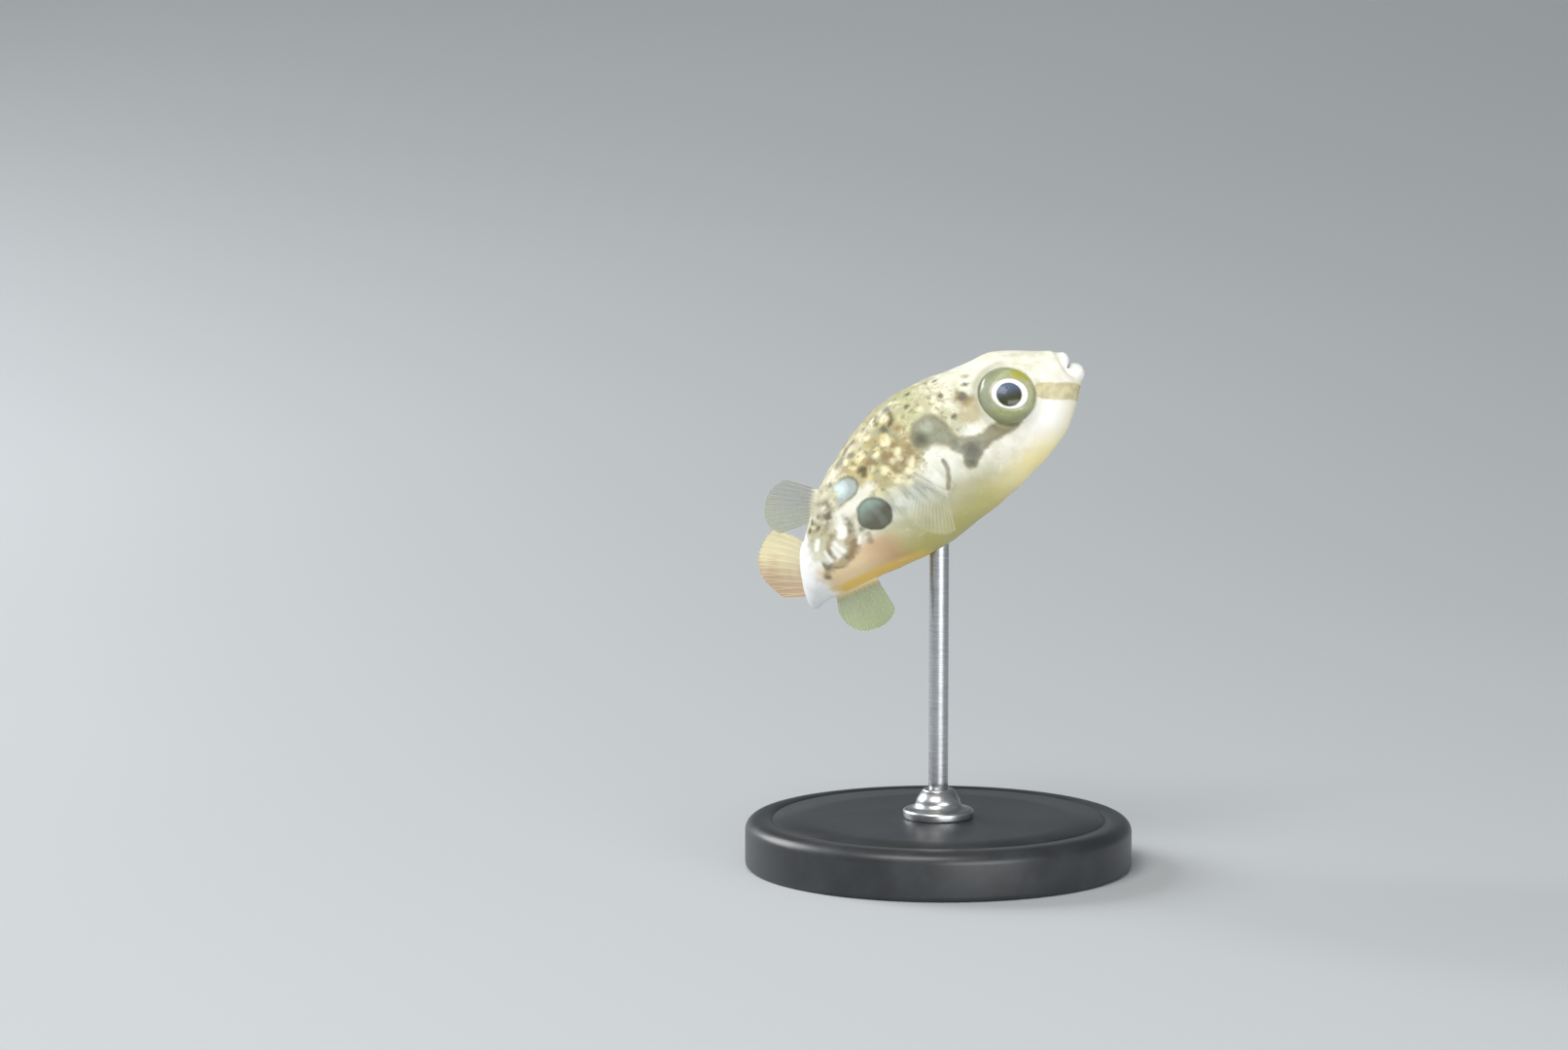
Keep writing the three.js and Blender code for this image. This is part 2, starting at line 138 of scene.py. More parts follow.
class Finish:
    # a material under construction, with the nodes that this model's finishes share
    def __init__(self, name):
        self.material = bpy.data.materials.new(name)
        self.material.use_nodes = True
        self.tree = self.material.node_tree
        self.shader = self.tree.nodes["Principled BSDF"]

    def node(self, kind, settings, sockets, output=0):
        node = self.tree.nodes.new(kind)
        for key, value in settings.items():
            setattr(node, key, value)
        for key, value in sockets.items():
            plug(self.tree, node.inputs[key], value)
        return Wire(self.tree, node.outputs[output])

    def attribute(self, name, output="Fac"):
        return self.node("ShaderNodeAttribute", {"attribute_name": name}, {}, output)

    def step(self, value, low, high):  # 0 at low and 1 at high, smooth between; low may be the larger
        ends = {3: 0.0, 4: 1.0} if low < high else {3: 1.0, 4: 0.0}
        sockets = {0: value, 1: min(low, high), 2: max(low, high), **ends}
        return self.node("ShaderNodeMapRange", {"interpolation_type": "SMOOTHSTEP"}, sockets)

    def mix(self, share, first, second):
        sockets = {0: share, 6: tint(first), 7: tint(second)}
        return self.node("ShaderNodeMix", {"data_type": "RGBA"}, sockets, 2)

    def between(self, value, low, high, first, second):  # the first colour at low, the second at high
        return self.mix(self.step(value, low, high), first, second)

    def over(self, colour, *layers):  # each layer is a share and a colour, laid over what is there
        for share, top in layers:
            colour = self.mix(share, colour, top)
        return colour

    def noise(self, vector, scale, detail=2.0, rough=0.5):
        sockets = {"Vector": vector, "Scale": scale, "Detail": detail, "Roughness": rough}
        return self.node("ShaderNodeTexNoise", {}, sockets, "Fac")

    def cells(self, vector, scale, jitter=1.0):
        sockets = {"Vector": vector, "Scale": scale, "Randomness": jitter}
        return self.node("ShaderNodeTexVoronoi", {}, sockets, "Distance")

    def stretch(self, vector, scale):
        return self.node("ShaderNodeMapping", {}, {"Vector": vector, "Scale": scale}, "Vector")

    def objectPlace(self):  # Object coordinates, scaled to millimetres
        return self.stretch(self.node("ShaderNodeTexCoord", {}, {}, "Object"), (1 / mm, 1 / mm, 1 / mm))

    def bump(self, height, strength, depth):  # depth in millimetres
        sockets = {"Height": height, "Strength": strength, "Distance": depth * mm}
        return self.node("ShaderNodeBump", {}, sockets, "Normal")

    def surface(self, sockets):
        for key, value in sockets.items():
            plug(self.tree, self.shader.inputs[key], value)
        return self.material


def meshPiece(name, points, faces, corners, fields, material):
    # faces holds index arrays and corners their (u, v) pairs, turned over where the volume is negative
    volume = sum(np.einsum("ij,ij->i", points[f[:, 0]], np.cross(points[f[:, k]], points[f[:, k + 1]])).sum()
                 for f in faces for k in range(1, f.shape[1] - 1))
    if volume < 0:
        faces, corners = [f[:, ::-1] for f in faces], [c[:, ::-1] for c in corners]
    mesh = bpy.data.meshes.new(name)
    mesh.from_pydata((points * mm).tolist(), [], [row for f in faces for row in f.tolist()])
    mesh.polygons.foreach_set("use_smooth", np.ones(len(mesh.polygons), bool))
    mesh.uv_layers.new(name="OFBake").data.foreach_set("uv", np.concatenate([c.reshape(-1) for c in corners]))
    for field, values in fields.items():
        vector = values.ndim == 2
        made = mesh.attributes.new(field, "FLOAT_VECTOR" if vector else "FLOAT", "POINT")
        made.data.foreach_set("vector" if vector else "value", values.astype(np.float32).reshape(-1))
    mesh.materials.append(material)
    mesh.update()
    piece = bpy.data.objects.new(name, mesh)
    scene.collection.objects.link(piece)
    return piece


def gridFaces(rows, columns, wrap):
    # quads between neighbouring rows and columns, with each corner's place in the unit square
    across = columns if wrap else columns - 1
    i, j = np.meshgrid(np.arange(rows - 1), np.arange(across), indexing="ij")
    steps = ((0, 0), (1, 0), (1, 1), (0, 1))
    quads = np.stack([(i + a) * columns + (j + b) % columns for a, b in steps], -1).reshape(-1, 4)
    corners = np.stack([np.stack([(j + b) / across, (i + a) / (rows - 1)], -1) for a, b in steps], -2)
    return quads, corners.reshape(-1, 4, 2)


def withPoles(grid):
    # the grid row after row, then the means of its first and last rows
    return np.concatenate([grid.reshape(-1, *grid.shape[2:]), grid[:1].mean(1), grid[-1:].mean(1)])


def tubePiece(name, points, fields, material):
    # rows of points joined round, and each end row closed by a fan of triangles to its mean
    rows, columns = points.shape[:2]
    quads, corners = gridFaces(rows, columns, True)
    j = np.arange(columns)
    fans, fanCorners = [], []
    for row, pole in ((0, rows * columns), (rows - 1, rows * columns + 1)):
        around = [row * columns + (j + 1) % columns, row * columns + j]
        u = [(j + 1) / columns, j / columns]
        if row:
            around, u = around[::-1], u[::-1]
        v = np.full(columns, 1.0 if row else 0.0)
        fans.append(np.stack([np.full(columns, pole), *around], -1))
        fanCorners.append(np.stack([np.stack([share, v], -1) for share in ((j + 0.5) / columns, *u)], -2))
    full = {field: withPoles(values) for field, values in fields.items()}
    return meshPiece(name, withPoles(points), [quads, *fans], [corners, *fanCorners], full, material)


def sheetPiece(name, sheet, halfThick, fields, material):
    # two layers, each half the thickness off the sheet along its normals, and a rim of quads round them
    rows, columns = sheet.shape[:2]
    normal = np.cross(np.gradient(sheet, axis=1), np.gradient(sheet, axis=0))
    normal /= np.linalg.norm(normal, axis=-1, keepdims=True)
    layers = [(sheet + side * halfThick[..., None] * normal).reshape(-1, 3) for side in (1, -1)]
    quads, corners = gridFaces(rows, columns, False)
    count = rows * columns
    index = np.arange(count).reshape(rows, columns)
    edge = np.concatenate([index[0, :-1], index[:-1, -1], index[-1, :0:-1], index[:0:-1, 0]])
    edgeAhead = np.roll(edge, -1)
    rim = np.stack([edge, edgeAhead, edgeAhead + count, edge + count], -1)
    uv = np.stack([edge % columns / (columns - 1), edge // columns / (rows - 1)], -1)
    uvAhead = np.roll(uv, -1, 0)
    rimCorners = np.stack([uv, uvAhead, uvAhead, uv], 1)
    faces = [quads, quads[:, ::-1] + count, rim[:, ::-1]]
    allCorners = [corners, corners[:, ::-1], rimCorners[:, ::-1]]
    full = {field: np.tile(values.reshape(-1), 2) for field, values in fields.items()}
    return meshPiece(name, np.concatenate(layers), faces, allCorners, full, material)


def turnedPiece(name, profile, columns, material):
    # a profile of (radius, height) turned about the upright axis
    angle = 2 * np.pi * np.arange(columns) / columns
    radius, height = profile[:, :1], profile[:, 1:]
    points = np.stack([radius * np.cos(angle), radius * np.sin(angle), height + 0 * angle], -1)
    return tubePiece(name, points, {}, material)


def place(piece, slot, *nodes):
    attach(piece, "root")
    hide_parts(*nodes)
    print(f"made {piece.name}: {len(piece.data.polygons)} faces")


# The fish is worked out straight: at (back from the lips), across (to its left), up (to its back).
# Then the spine sweeps and rolls it, and the pose turns it.
body = {
    "middle": 12.0, "swimHeight": 24.0, "rodFromMiddle": (1.0, 0.1),
    "noseUp": 43.3, "headingLeft": 5.7, "leanOver": 1.7,
    "stalkEnd": 24.2, "stalkRounding": 1.1,
    "mouthDrop": 0.9, "mouthDropEnd": 7.2, "squareness": 2.2,
    "sweep": 82.0, "sweepFrom": 15.6, "sweepTo": 23.8, "roll": -36.0, "rollFrom": 10.8, "rollTo": 22.8,
    "spineEnd": 26.0, "spineStep": 0.05,
}
stations = np.array([  # at, back, belly, side
    (0.0, 0.7, 0.8, 0.8), (1.4, 1.8, 1.9, 1.8), (3.4, 3.3, 3.3, 2.7), (5.3, 3.7, 4.0, 3.3),
    (7.9, 4.6, 4.3, 3.7), (11.0, 5.3, 4.1, 3.8), (14.4, 4.85, 3.65, 3.3), (17.3, 4.0, 2.6, 2.5),
    (19.7, 2.9, 1.95, 1.7), (21.8, 2.1, 2.0, 1.0), (24.0, 2.1, 2.7, 0.5),
])
farAway = 99.0  # more than any distance on the fish


def smooth(x, low, high):
    # 0 at low and 1 at high, with a flat start and end; low may be the larger
    t = np.clip((x - low) / (high - low), 0, 1)
    return t * t * (3 - 2 * t)


def bell(x, width):
    # 1 at zero, falling off as the square of x over the width in an exponential
    return np.exp(-(x / width) ** 2)


def naturalCurve(x, y):
    # cubic pieces through the points, with no bending at the ends; y may carry more axes
    x, y = np.asarray(x, float), np.asarray(y, float)
    last, span, flat = len(x) - 1, np.diff(x), y.reshape(len(x), -1)
    matrix, right = np.eye(last + 1), np.zeros_like(flat)
    for i in range(1, last):
        matrix[i, i - 1:i + 2] = span[i - 1], 2 * (span[i - 1] + span[i]), span[i]
    right[1:-1] = 6 * np.diff(np.diff(flat, axis=0) / span[:, None], axis=0)
    bend = np.linalg.solve(matrix, right)

    def curve(q):
        q = np.asarray(q, float)
        k = np.clip(np.searchsorted(x, q) - 1, 0, last - 1)
        a, h = ((x[k + 1] - q) / span[k])[..., None], span[k][..., None]
        b = 1 - a
        bending = (a ** 3 - a) * bend[k] + (b ** 3 - b) * bend[k + 1]
        return (a * flat[k] + b * flat[k + 1] + bending * h ** 2 / 6).reshape(q.shape + y.shape[1:])
    return curve


backHeight, bellyDepth, sideWidth = (naturalCurve(stations[:, 0], stations[:, k]) for k in (1, 2, 3))

# the spine's place and its three directions, summed in small steps along its sweep
spineAt = np.arange(0, body["spineEnd"] + body["spineStep"] / 2, body["spineStep"])
sweep = np.radians(body["sweep"]) * smooth(spineAt, body["sweepFrom"], body["sweepTo"])
roll = np.radians(body["roll"]) * smooth(spineAt, body["rollFrom"], body["rollTo"])
spineTail = np.stack([-np.cos(sweep), np.sin(sweep), 0 * sweep], 1)
spineLeft = np.stack([np.sin(sweep) * np.cos(roll), np.cos(sweep) * np.cos(roll), np.sin(roll)], 1)
spineUp = np.cross(spineLeft, spineTail)
spinePlace = np.concatenate([np.zeros((1, 3)), np.cumsum(spineTail[:-1] * body["spineStep"], 0)])


def along(table, at):
    # a spine table read between its steps
    return np.stack([np.interp(at, spineAt, table[:, k]) for k in range(3)], -1)


def axesAt(at):
    # towards the tail, the left and the back
    return [along(table, at) for table in (spineTail, spineLeft, spineUp)]


def bent(straight):
    # a straight point carried by the spine: its place there, and steps to its left and up
    at, across, up = np.moveaxis(straight, -1, 0)
    left, over = along(spineLeft, at), along(spineUp, at)
    return along(spinePlace, at) + left * across[..., None] + over * up[..., None]


poseTurn = np.array(Matrix.Rotation(np.radians(body["headingLeft"]), 3, "Z")
                    @ Matrix.Rotation(np.radians(-body["noseUp"]), 3, "Y")
                    @ Matrix.Rotation(np.radians(body["leanOver"]), 3, "X"))


def posed(points):
    # bent space turned about the fish's middle and lifted over the stand
    offset = np.array([-body["rodFromMiddle"][0], -body["rodFromMiddle"][1], body["swimHeight"]])
    return (points + np.array([body["middle"], 0, 0])) @ poseTurn.T + offset


def axisHeight(at):
    # the body's axis drops smoothly to the mouth
    return body["mouthDrop"] * (smooth(at, 0, body["mouthDropEnd"]) - 1)


def endRounding(at):
    # a quarter of an ellipse over the stalk's last stretch, and 1 before it
    rear = np.clip((body["stalkEnd"] - at) / body["stalkRounding"], 0, 1)
    return np.sqrt(1 - (1 - rear) ** 2)


def skinAt(at, angle):
    # a fuller ellipse at each station; angle 0 is the left flank, 90 the back, 270 the belly
    at, angle = np.broadcast_arrays(at, angle)
    aside, over = [np.sign(v) * np.abs(v) ** (2 / body["squareness"]) for v in (np.cos(angle), np.sin(angle))]
    height = np.where(np.sin(angle) >= 0, backHeight(at), bellyDepth(at))
    rounding = endRounding(at)
    return np.stack([at, aside * sideWidth(at) * rounding, axisHeight(at) + over * height * rounding], -1)


def onFlank(at, up, side):
    # the skin's point at a height over the axis; side is 1 on the left and -1 on the right
    at, up = np.broadcast_arrays(np.asarray(at, float), np.asarray(up, float))
    height = np.where(up > axisHeight(at), backHeight(at), bellyDepth(at))
    share = np.clip(np.abs(up - axisHeight(at)) / height, 0, 1)
    across = sideWidth(at) * (1 - share ** body["squareness"]) ** (1 / body["squareness"])
    return np.stack([at, side * across, up], -1)


def toSpots(points, spots, side):
    # least distance from each point to the edge of any round spot (at, up, radius) on one flank
    spots = np.asarray(spots, float)
    least = np.full(points.shape[:-1], farAway)
    for centre, radius in zip(onFlank(spots[:, 0], spots[:, 1], side), spots[:, 2]):
        least = np.minimum(least, np.linalg.norm(points - centre, axis=-1) - radius)
    return least


def toStroke(points, stroke, side, blend=0.0):
    # distance to a broken line of (at, up, half width) on one flank, less the width; blend rounds the joins
    stroke = np.asarray(stroke, float)
    knots, halves = onFlank(stroke[:, 0], stroke[:, 1], side), stroke[:, 2]
    least = np.full(points.shape[:-1], farAway)
    for a, b, wideA, wideB in zip(knots[:-1], knots[1:], halves[:-1], halves[1:]):
        t = np.clip((points - a) @ (b - a) / ((b - a) @ (b - a)), 0, 1)
        reach = np.linalg.norm(points - a - t[..., None] * (b - a), axis=-1) - (wideA + (wideB - wideA) * t)
        if blend:
            h = np.clip(0.5 + 0.5 * (least - reach) / blend, 0, 1)
            least = least + (reach - least) * h - blend * h * (1 - h)
        else:
            least = np.minimum(least, reach)
    return least


def toEither(points, stroke):
    # the nearer of the same stroke on both flanks
    return np.minimum(toStroke(points, stroke, -1), toStroke(points, stroke, 1))


eye = {
    "at": 4.65, "up": 0.95, "radius": 1.85, "bulge": 1.15, "sink": 0.45, "forward": 18.0, "upward": 27.0,
    "pupil": 0.78, "pupilLow": 0.19, "pupilSquash": 1.04, "drop": 0.23, "slant": -43.0,
    "ring": 1.11, "ringLow": 0.09, "ringAside": 0.05, "ringSquash": 1.16,
    "lens": 0.07, "lensWidth": 0.8, "groove": 0.02, "grooveWidth": 0.07, "rows": 84, "columns": 128,
}


def eyeAxes(side):
    # middle of the eyeball, then its forward, upward and sight directions, in straight space
    sight = np.array([-np.tan(np.radians(eye["forward"])), side, np.tan(np.radians(eye["upward"]))])
    sight /= np.linalg.norm(sight)
    ahead = np.array([-1.0, 0, 0])
    ahead -= sight * (ahead @ sight)
    ahead /= np.linalg.norm(ahead)
    over = np.cross(sight, ahead)
    over *= np.sign(over[2])
    return onFlank(eye["at"], eye["up"], side) - sight * eye["sink"], ahead, over, sight


def eyeRounds(x, y):
    # distances from the middle of the pupil: nearly round for the pupil, a slanted oval for the pale ring
    slant, fall = np.radians(eye["slant"]), y + eye["drop"]
    wide = x * np.cos(slant) + fall * np.sin(slant)
    tall = -x * np.sin(slant) + fall * np.cos(slant)
    pupil = np.hypot(wide, eye["pupilSquash"] * (tall + eye["pupilLow"]))
    ring = np.hypot(wide - eye["ringAside"], eye["ringSquash"] * (tall + eye["ringLow"]))
    return pupil, ring, wide, tall


def eyePiece(name, side, material):
    # an ellipsoid about the line of sight, with a low lens over the pupil and a groove round the pale ring
    middle, ahead, over, sight = eyeAxes(side)
    polar = np.pi * (np.arange(eye["rows"])[:, None] + 0.35) / (eye["rows"] - 0.3)
    angle = 2 * np.pi * np.arange(eye["columns"])[None] / eye["columns"]
    rho = eye["radius"] * np.sin(polar) + 0 * angle
    x, y = rho * np.cos(angle), rho * np.sin(angle)
    pupil, ring, wide, tall = eyeRounds(x, y)
    lens = eye["lens"] * np.exp(-(pupil / eye["lensWidth"]) ** 4)
    groove = eye["groove"] * bell(ring - eye["ring"] - 0.05, eye["grooveWidth"])
    depth = eye["bulge"] * np.cos(polar) + (np.cos(polar) > 0) * (lens - groove)
    points = middle + x[..., None] * ahead + y[..., None] * over + depth[..., None] * sight
    fields = {"eyeView": np.stack([x, y, depth], -1), "pupil": pupil, "paleRing": ring,
              "wide": wide, "tall": tall, "rho": rho}
    return tubePiece(name, posed(bent(points)), fields, material)


def eyeFinish():
    paint = Finish("wet_eye")
    step, noise = paint.step, paint.noise
    seen = paint.attribute("eyeView", "Vector")
    pupilAt, ringAt, wide, tall, rho = map(paint.attribute, ("pupil", "paleRing", "wide", "tall", "rho"))
    grain, speck = noise(seen, 5.0, 4, 0.65), noise(seen, 2.4, 3, 0.6)
    wobble = (noise(seen, 1.1, 1) - 0.5) * 0.10 + (grain - 0.5) * 0.03
    # painted reflection: the pupil lighter and blue-grey towards its top, dark olive below
    pupil = paint.between(tall - wide * 0.35, -0.55, 0.45, "#3b3e26", "#5a6880")
    white = paint.between(grain, 0.3, 0.7, "#ecece2", "#fdfdf7")
    inBand = step(wide, -0.25, 0.45) * step(wide, 1.6, 1.15)
    yellowPatch = step(tall + (speck - 0.5) * 0.6, 0.78, 1.05) * inBand
    upperEdge = tall * 0.9 - wide * 0.6 + (grain - 0.5) * 0.6
    olive = paint.over(
        paint.between(speck, 0.35, 0.62, "#a5aa80", "#babd98"),
        (step(wide, -0.3, -1.3) * 0.9, "#959a86"),
        (step(tall + (speck - 0.5) * 0.8, -0.6, -1.4) * 0.85, "#8b9262"),
        (step(noise(seen, 3.0, 2), 0.58, 0.72) * 0.4, "#85866a"),
        (step(upperEdge, 1.25, 1.75) * 0.6, "#7f8560"),
        (yellowPatch * 0.85, "#adab36"))
    inPupil = step(pupilAt + wobble * 0.4, eye["pupil"] + 0.05, eye["pupil"] - 0.05)
    colour = paint.over(
        white,
        (inPupil, pupil),
        (step(ringAt + wobble, eye["ring"] - 0.05, eye["ring"] + 0.05), "#a5a687"),
        (step(ringAt + wobble, eye["ring"] + 0.04, eye["ring"] + 0.20), olive),
        (step(rho + wobble, 1.50, 1.75) * 0.45, "#86876b"))
    return paint.surface({
        "Base Color": colour, "Roughness": 0.24 + inPupil * 0.10, "IOR": 1.4, "Specular IOR Level": 0.3,
        "Coat Weight": 0.55 - inPupil * 0.25, "Coat Roughness": 0.03, "Normal": paint.bump(grain, 0.12, 0.03),
    })


mouth = {
    "height": -0.88, "halfWidth": 0.98, "front": 0.66, "cornerBack": 0.36, "cornerRadius": 0.2,
    "upperRise": 0.47, "lowerRise": 0.70, "upperRadius": 0.43, "lowerRadius": 0.61, "cornerSoftness": 0.02,
    "throat": [(1.7, 0.25, 0.08), (1.0, 0.55, 0.14)],  # back, half width, half height
    "lipTurns": (-125, -98, -70, -40, -10, 18, 42, 62), "behindLip": 0.16, "muzzleEnd": 3.6,
    "joins": (0, 0.34, 0.72, 1.15, 1.65, 2.2, 2.8), "between": 5,
    "lipRows": (12, 18, 54, 44), "throatRows": (15, 9),  # rows where each tint comes in, then goes out
}
grid = {"columns": 264, "eyesEnd": 7.0, "eyeRows": 70, "bodyRows": 190, "endRows": 12}
relief = {  # strokes and places on the flank; each rise is a height along the normal and a width
    "gill": [(10.30, 0.75, 0), (10.42, 0.2, 0), (10.80, -0.35, 0), (11.25, -0.75, 0)],
    "gillSlit": (-0.20, 0.10), "gillFlap": (0.10, 0.22), "flapAhead": 0.28,
    "finBase": [(11.95, 1.2, 0), (11.6, 0.3, 0), (11.35, -0.6, 0)], "finBaseRise": (0.16, 0.42),
    "nostril": (2.75, 1.05), "nostrilRim": (0.10, 0.26), "nostrilPit": (-0.20, 0.11),
    "shoulder": [(6.9, 2.7, 0), (9.5, 3.1, 0), (12.5, 2.6, 0)], "shoulderRise": (0.05, 0.8),
    "chin": [(2.0, -2.6, 0), (2.25, -2.2, 0), (2.4, -1.4, 0)], "chinDip": (-0.05, 0.22),
    "ventAt": 16.7, "ventRim": (0.05, 0.6), "ventPit": (-0.14, 0.17), "ridgeWidth": 0.55,
    "dorsalRidge": (0.22, 16.8, 17.6, 20.3, 19.6), "analRidge": (0.12, 17.2, 18.3, 20.8, 20.2),
    "unevenness": 0.018, "browWidth": 0.10, "browHeight": 0.07, "browAt": 1.10, "socketDepth": -0.35,
}


def lipRing(angle, section):
    # a circle about the lip's middle line: cos of the section goes forward, sin goes away from the mouth
    sine, cosine, soft = np.sin(angle), np.cos(angle), mouth["cornerSoftness"]
    away = (np.sqrt(sine ** 2 + soft) - np.sqrt(soft)) / (np.sqrt(1 + soft) - np.sqrt(soft))
    rise = np.where(sine >= 0, mouth["upperRise"], mouth["lowerRise"])
    full = np.where(sine >= 0, mouth["upperRadius"], mouth["lowerRadius"])
    radius = mouth["cornerRadius"] + (full - mouth["cornerRadius"]) * away ** 0.8
    outAcross, outUp = rise * cosine, mouth["halfWidth"] * sine
    norm = np.hypot(outAcross, outUp)
    out, ahead = radius * np.sin(section), radius * np.cos(section)
    return np.stack([mouth["front"] + mouth["cornerBack"] * (1 - away) - ahead,
                     mouth["halfWidth"] * cosine + out * outAcross / norm,
                     mouth["height"] + rise * sine + out * outUp / norm], -1)


def muzzleRows(angle):
    # a smooth curve at each angle from the throat, round the lip, through the groove behind it to the head
    rings = [np.stack([mouth["front"] + back + 0 * angle, across * np.cos(angle),
                       mouth["height"] + up * np.sin(angle)], -1) for back, across, up in mouth["throat"]]
    rings += [lipRing(angle, np.radians(turn)) for turn in mouth["lipTurns"]]
    behind = lipRing(angle, np.pi / 2)[:, 0] + mouth["behindLip"]
    rings.append(0.56 * lipRing(angle, np.radians(80)) + 0.44 * skinAt(behind, angle))
    joins = np.array(mouth["joins"]) / mouth["joins"][-1]
    rings += [skinAt(behind + (mouth["muzzleEnd"] - behind) * join, angle) for join in joins]
    last = len(rings) - 2  # the curve is used up to the ring before the last
    rows = np.linspace(0, last, last * mouth["between"] + 1)
    return naturalCurve(np.arange(len(rings)), np.stack(rings))(rows)


def skinGrid():
    # muzzle rows, then rings of skin back to the stalk's end, closer round the eyes; the belly has the seam
    angle = -np.pi / 2 + 2 * np.pi * np.arange(grid["columns"]) / grid["columns"]
    muzzle = muzzleRows(angle)
    eyesEnd, rear = grid["eyesEnd"], body["stalkEnd"] - body["stalkRounding"]
    joined = muzzle[-1, :, 0]
    share = np.linspace(0, 1, grid["eyeRows"])[1:, None]
    endTurn = np.pi / 2 * np.arange(1, grid["endRows"] + 1)[:, None] / (grid["endRows"] + 0.6)
    at = np.concatenate([
        joined + (eyesEnd - joined) * share,
        np.linspace(eyesEnd, rear, grid["bodyRows"])[1:, None] + 0 * angle,
        rear + body["stalkRounding"] * np.sin(endTurn) + 0 * angle])
    return np.concatenate([muzzle, skinAt(at, angle[None])])


def gridNormals(points):
    # cross product of the steps round the columns and along the rows, pointing away from the spine
    normal = np.cross(np.roll(points, -1, 1) - np.roll(points, 1, 1), np.gradient(points, axis=0))
    return normal / np.maximum(np.linalg.norm(normal, axis=-1, keepdims=True), 1e-9)


def swell(distance, name):
    # a bell-shaped height over the skin, by the distance from a line or a place
    height, width = relief[name]
    return height * bell(distance, width)


def shapeSkin(points):
    # each fold is a bell-shaped rise or dip along the normal, by its distance from a line on the flank
    normal = gridNormals(points)
    at, across, up = np.moveaxis(points, -1, 0)
    lift = swell(toEither(points, relief["chin"]), "chinDip")
    for side in (-1, 1):
        mine = smooth(side * across, -0.2, 0.3)
        lift += mine * swell(toStroke(points, relief["gill"], side), "gillSlit")
        lift += mine * swell(toStroke(points + [relief["flapAhead"], 0, 0], relief["gill"], side), "gillFlap")
        lift += mine * swell(toStroke(points, relief["finBase"], side), "finBaseRise")
        nostril = np.linalg.norm(points - onFlank(*relief["nostril"], side), axis=-1)
        lift += swell(nostril, "nostrilRim") + swell(nostril, "nostrilPit")
        lift += swell(toStroke(points, relief["shoulder"], side), "shoulderRise")
    back = np.where(up > axisHeight(at), 1.0, 0.0)
    midline = bell(across, relief["ridgeWidth"])
    for name, share in (("dorsalRidge", back), ("analRidge", 1 - back)):
        height, starts, full, ends, fades = relief[name]
        lift += height * midline * share * smooth(at, starts, full) * smooth(at, ends, fades)
    vent = np.hypot(across, at - relief["ventAt"])
    lift += (1 - back) * (swell(vent, "ventRim") + swell(vent, "ventPit"))
    uneven = (np.sin(1.9 * at + 1.3 * up + 0.7) * np.sin(2.3 * across - 0.8 * at)
              + np.sin(3.1 * at - 2.2 * up) * np.sin(2.7 * up + 1.1 * across + 2.0))
    lift += relief["unevenness"] * uneven * smooth(at, 2.4, 4.0) * smooth(at, 23.5, 22.5)
    shaped = points + normal * lift[..., None]
    for side in (-1, 1):  # flat sockets under the eyeballs, with a low brow round each
        middle, ahead, over, sight = eyeAxes(side)
        local = shaped - middle
        x, y, z = local @ ahead, local @ over, local @ sight
        rho = np.hypot(x, y) / eye["radius"]
        facing = smooth(z, -1.4, -0.9)
        brow = facing * relief["browHeight"] * bell(rho - relief["browAt"], relief["browWidth"])
        moved = facing * smooth(rho, 0.97, 0.86) * (relief["socketDepth"] - z) + brow
        shaped = shaped + moved[..., None] * sight
    return shaped


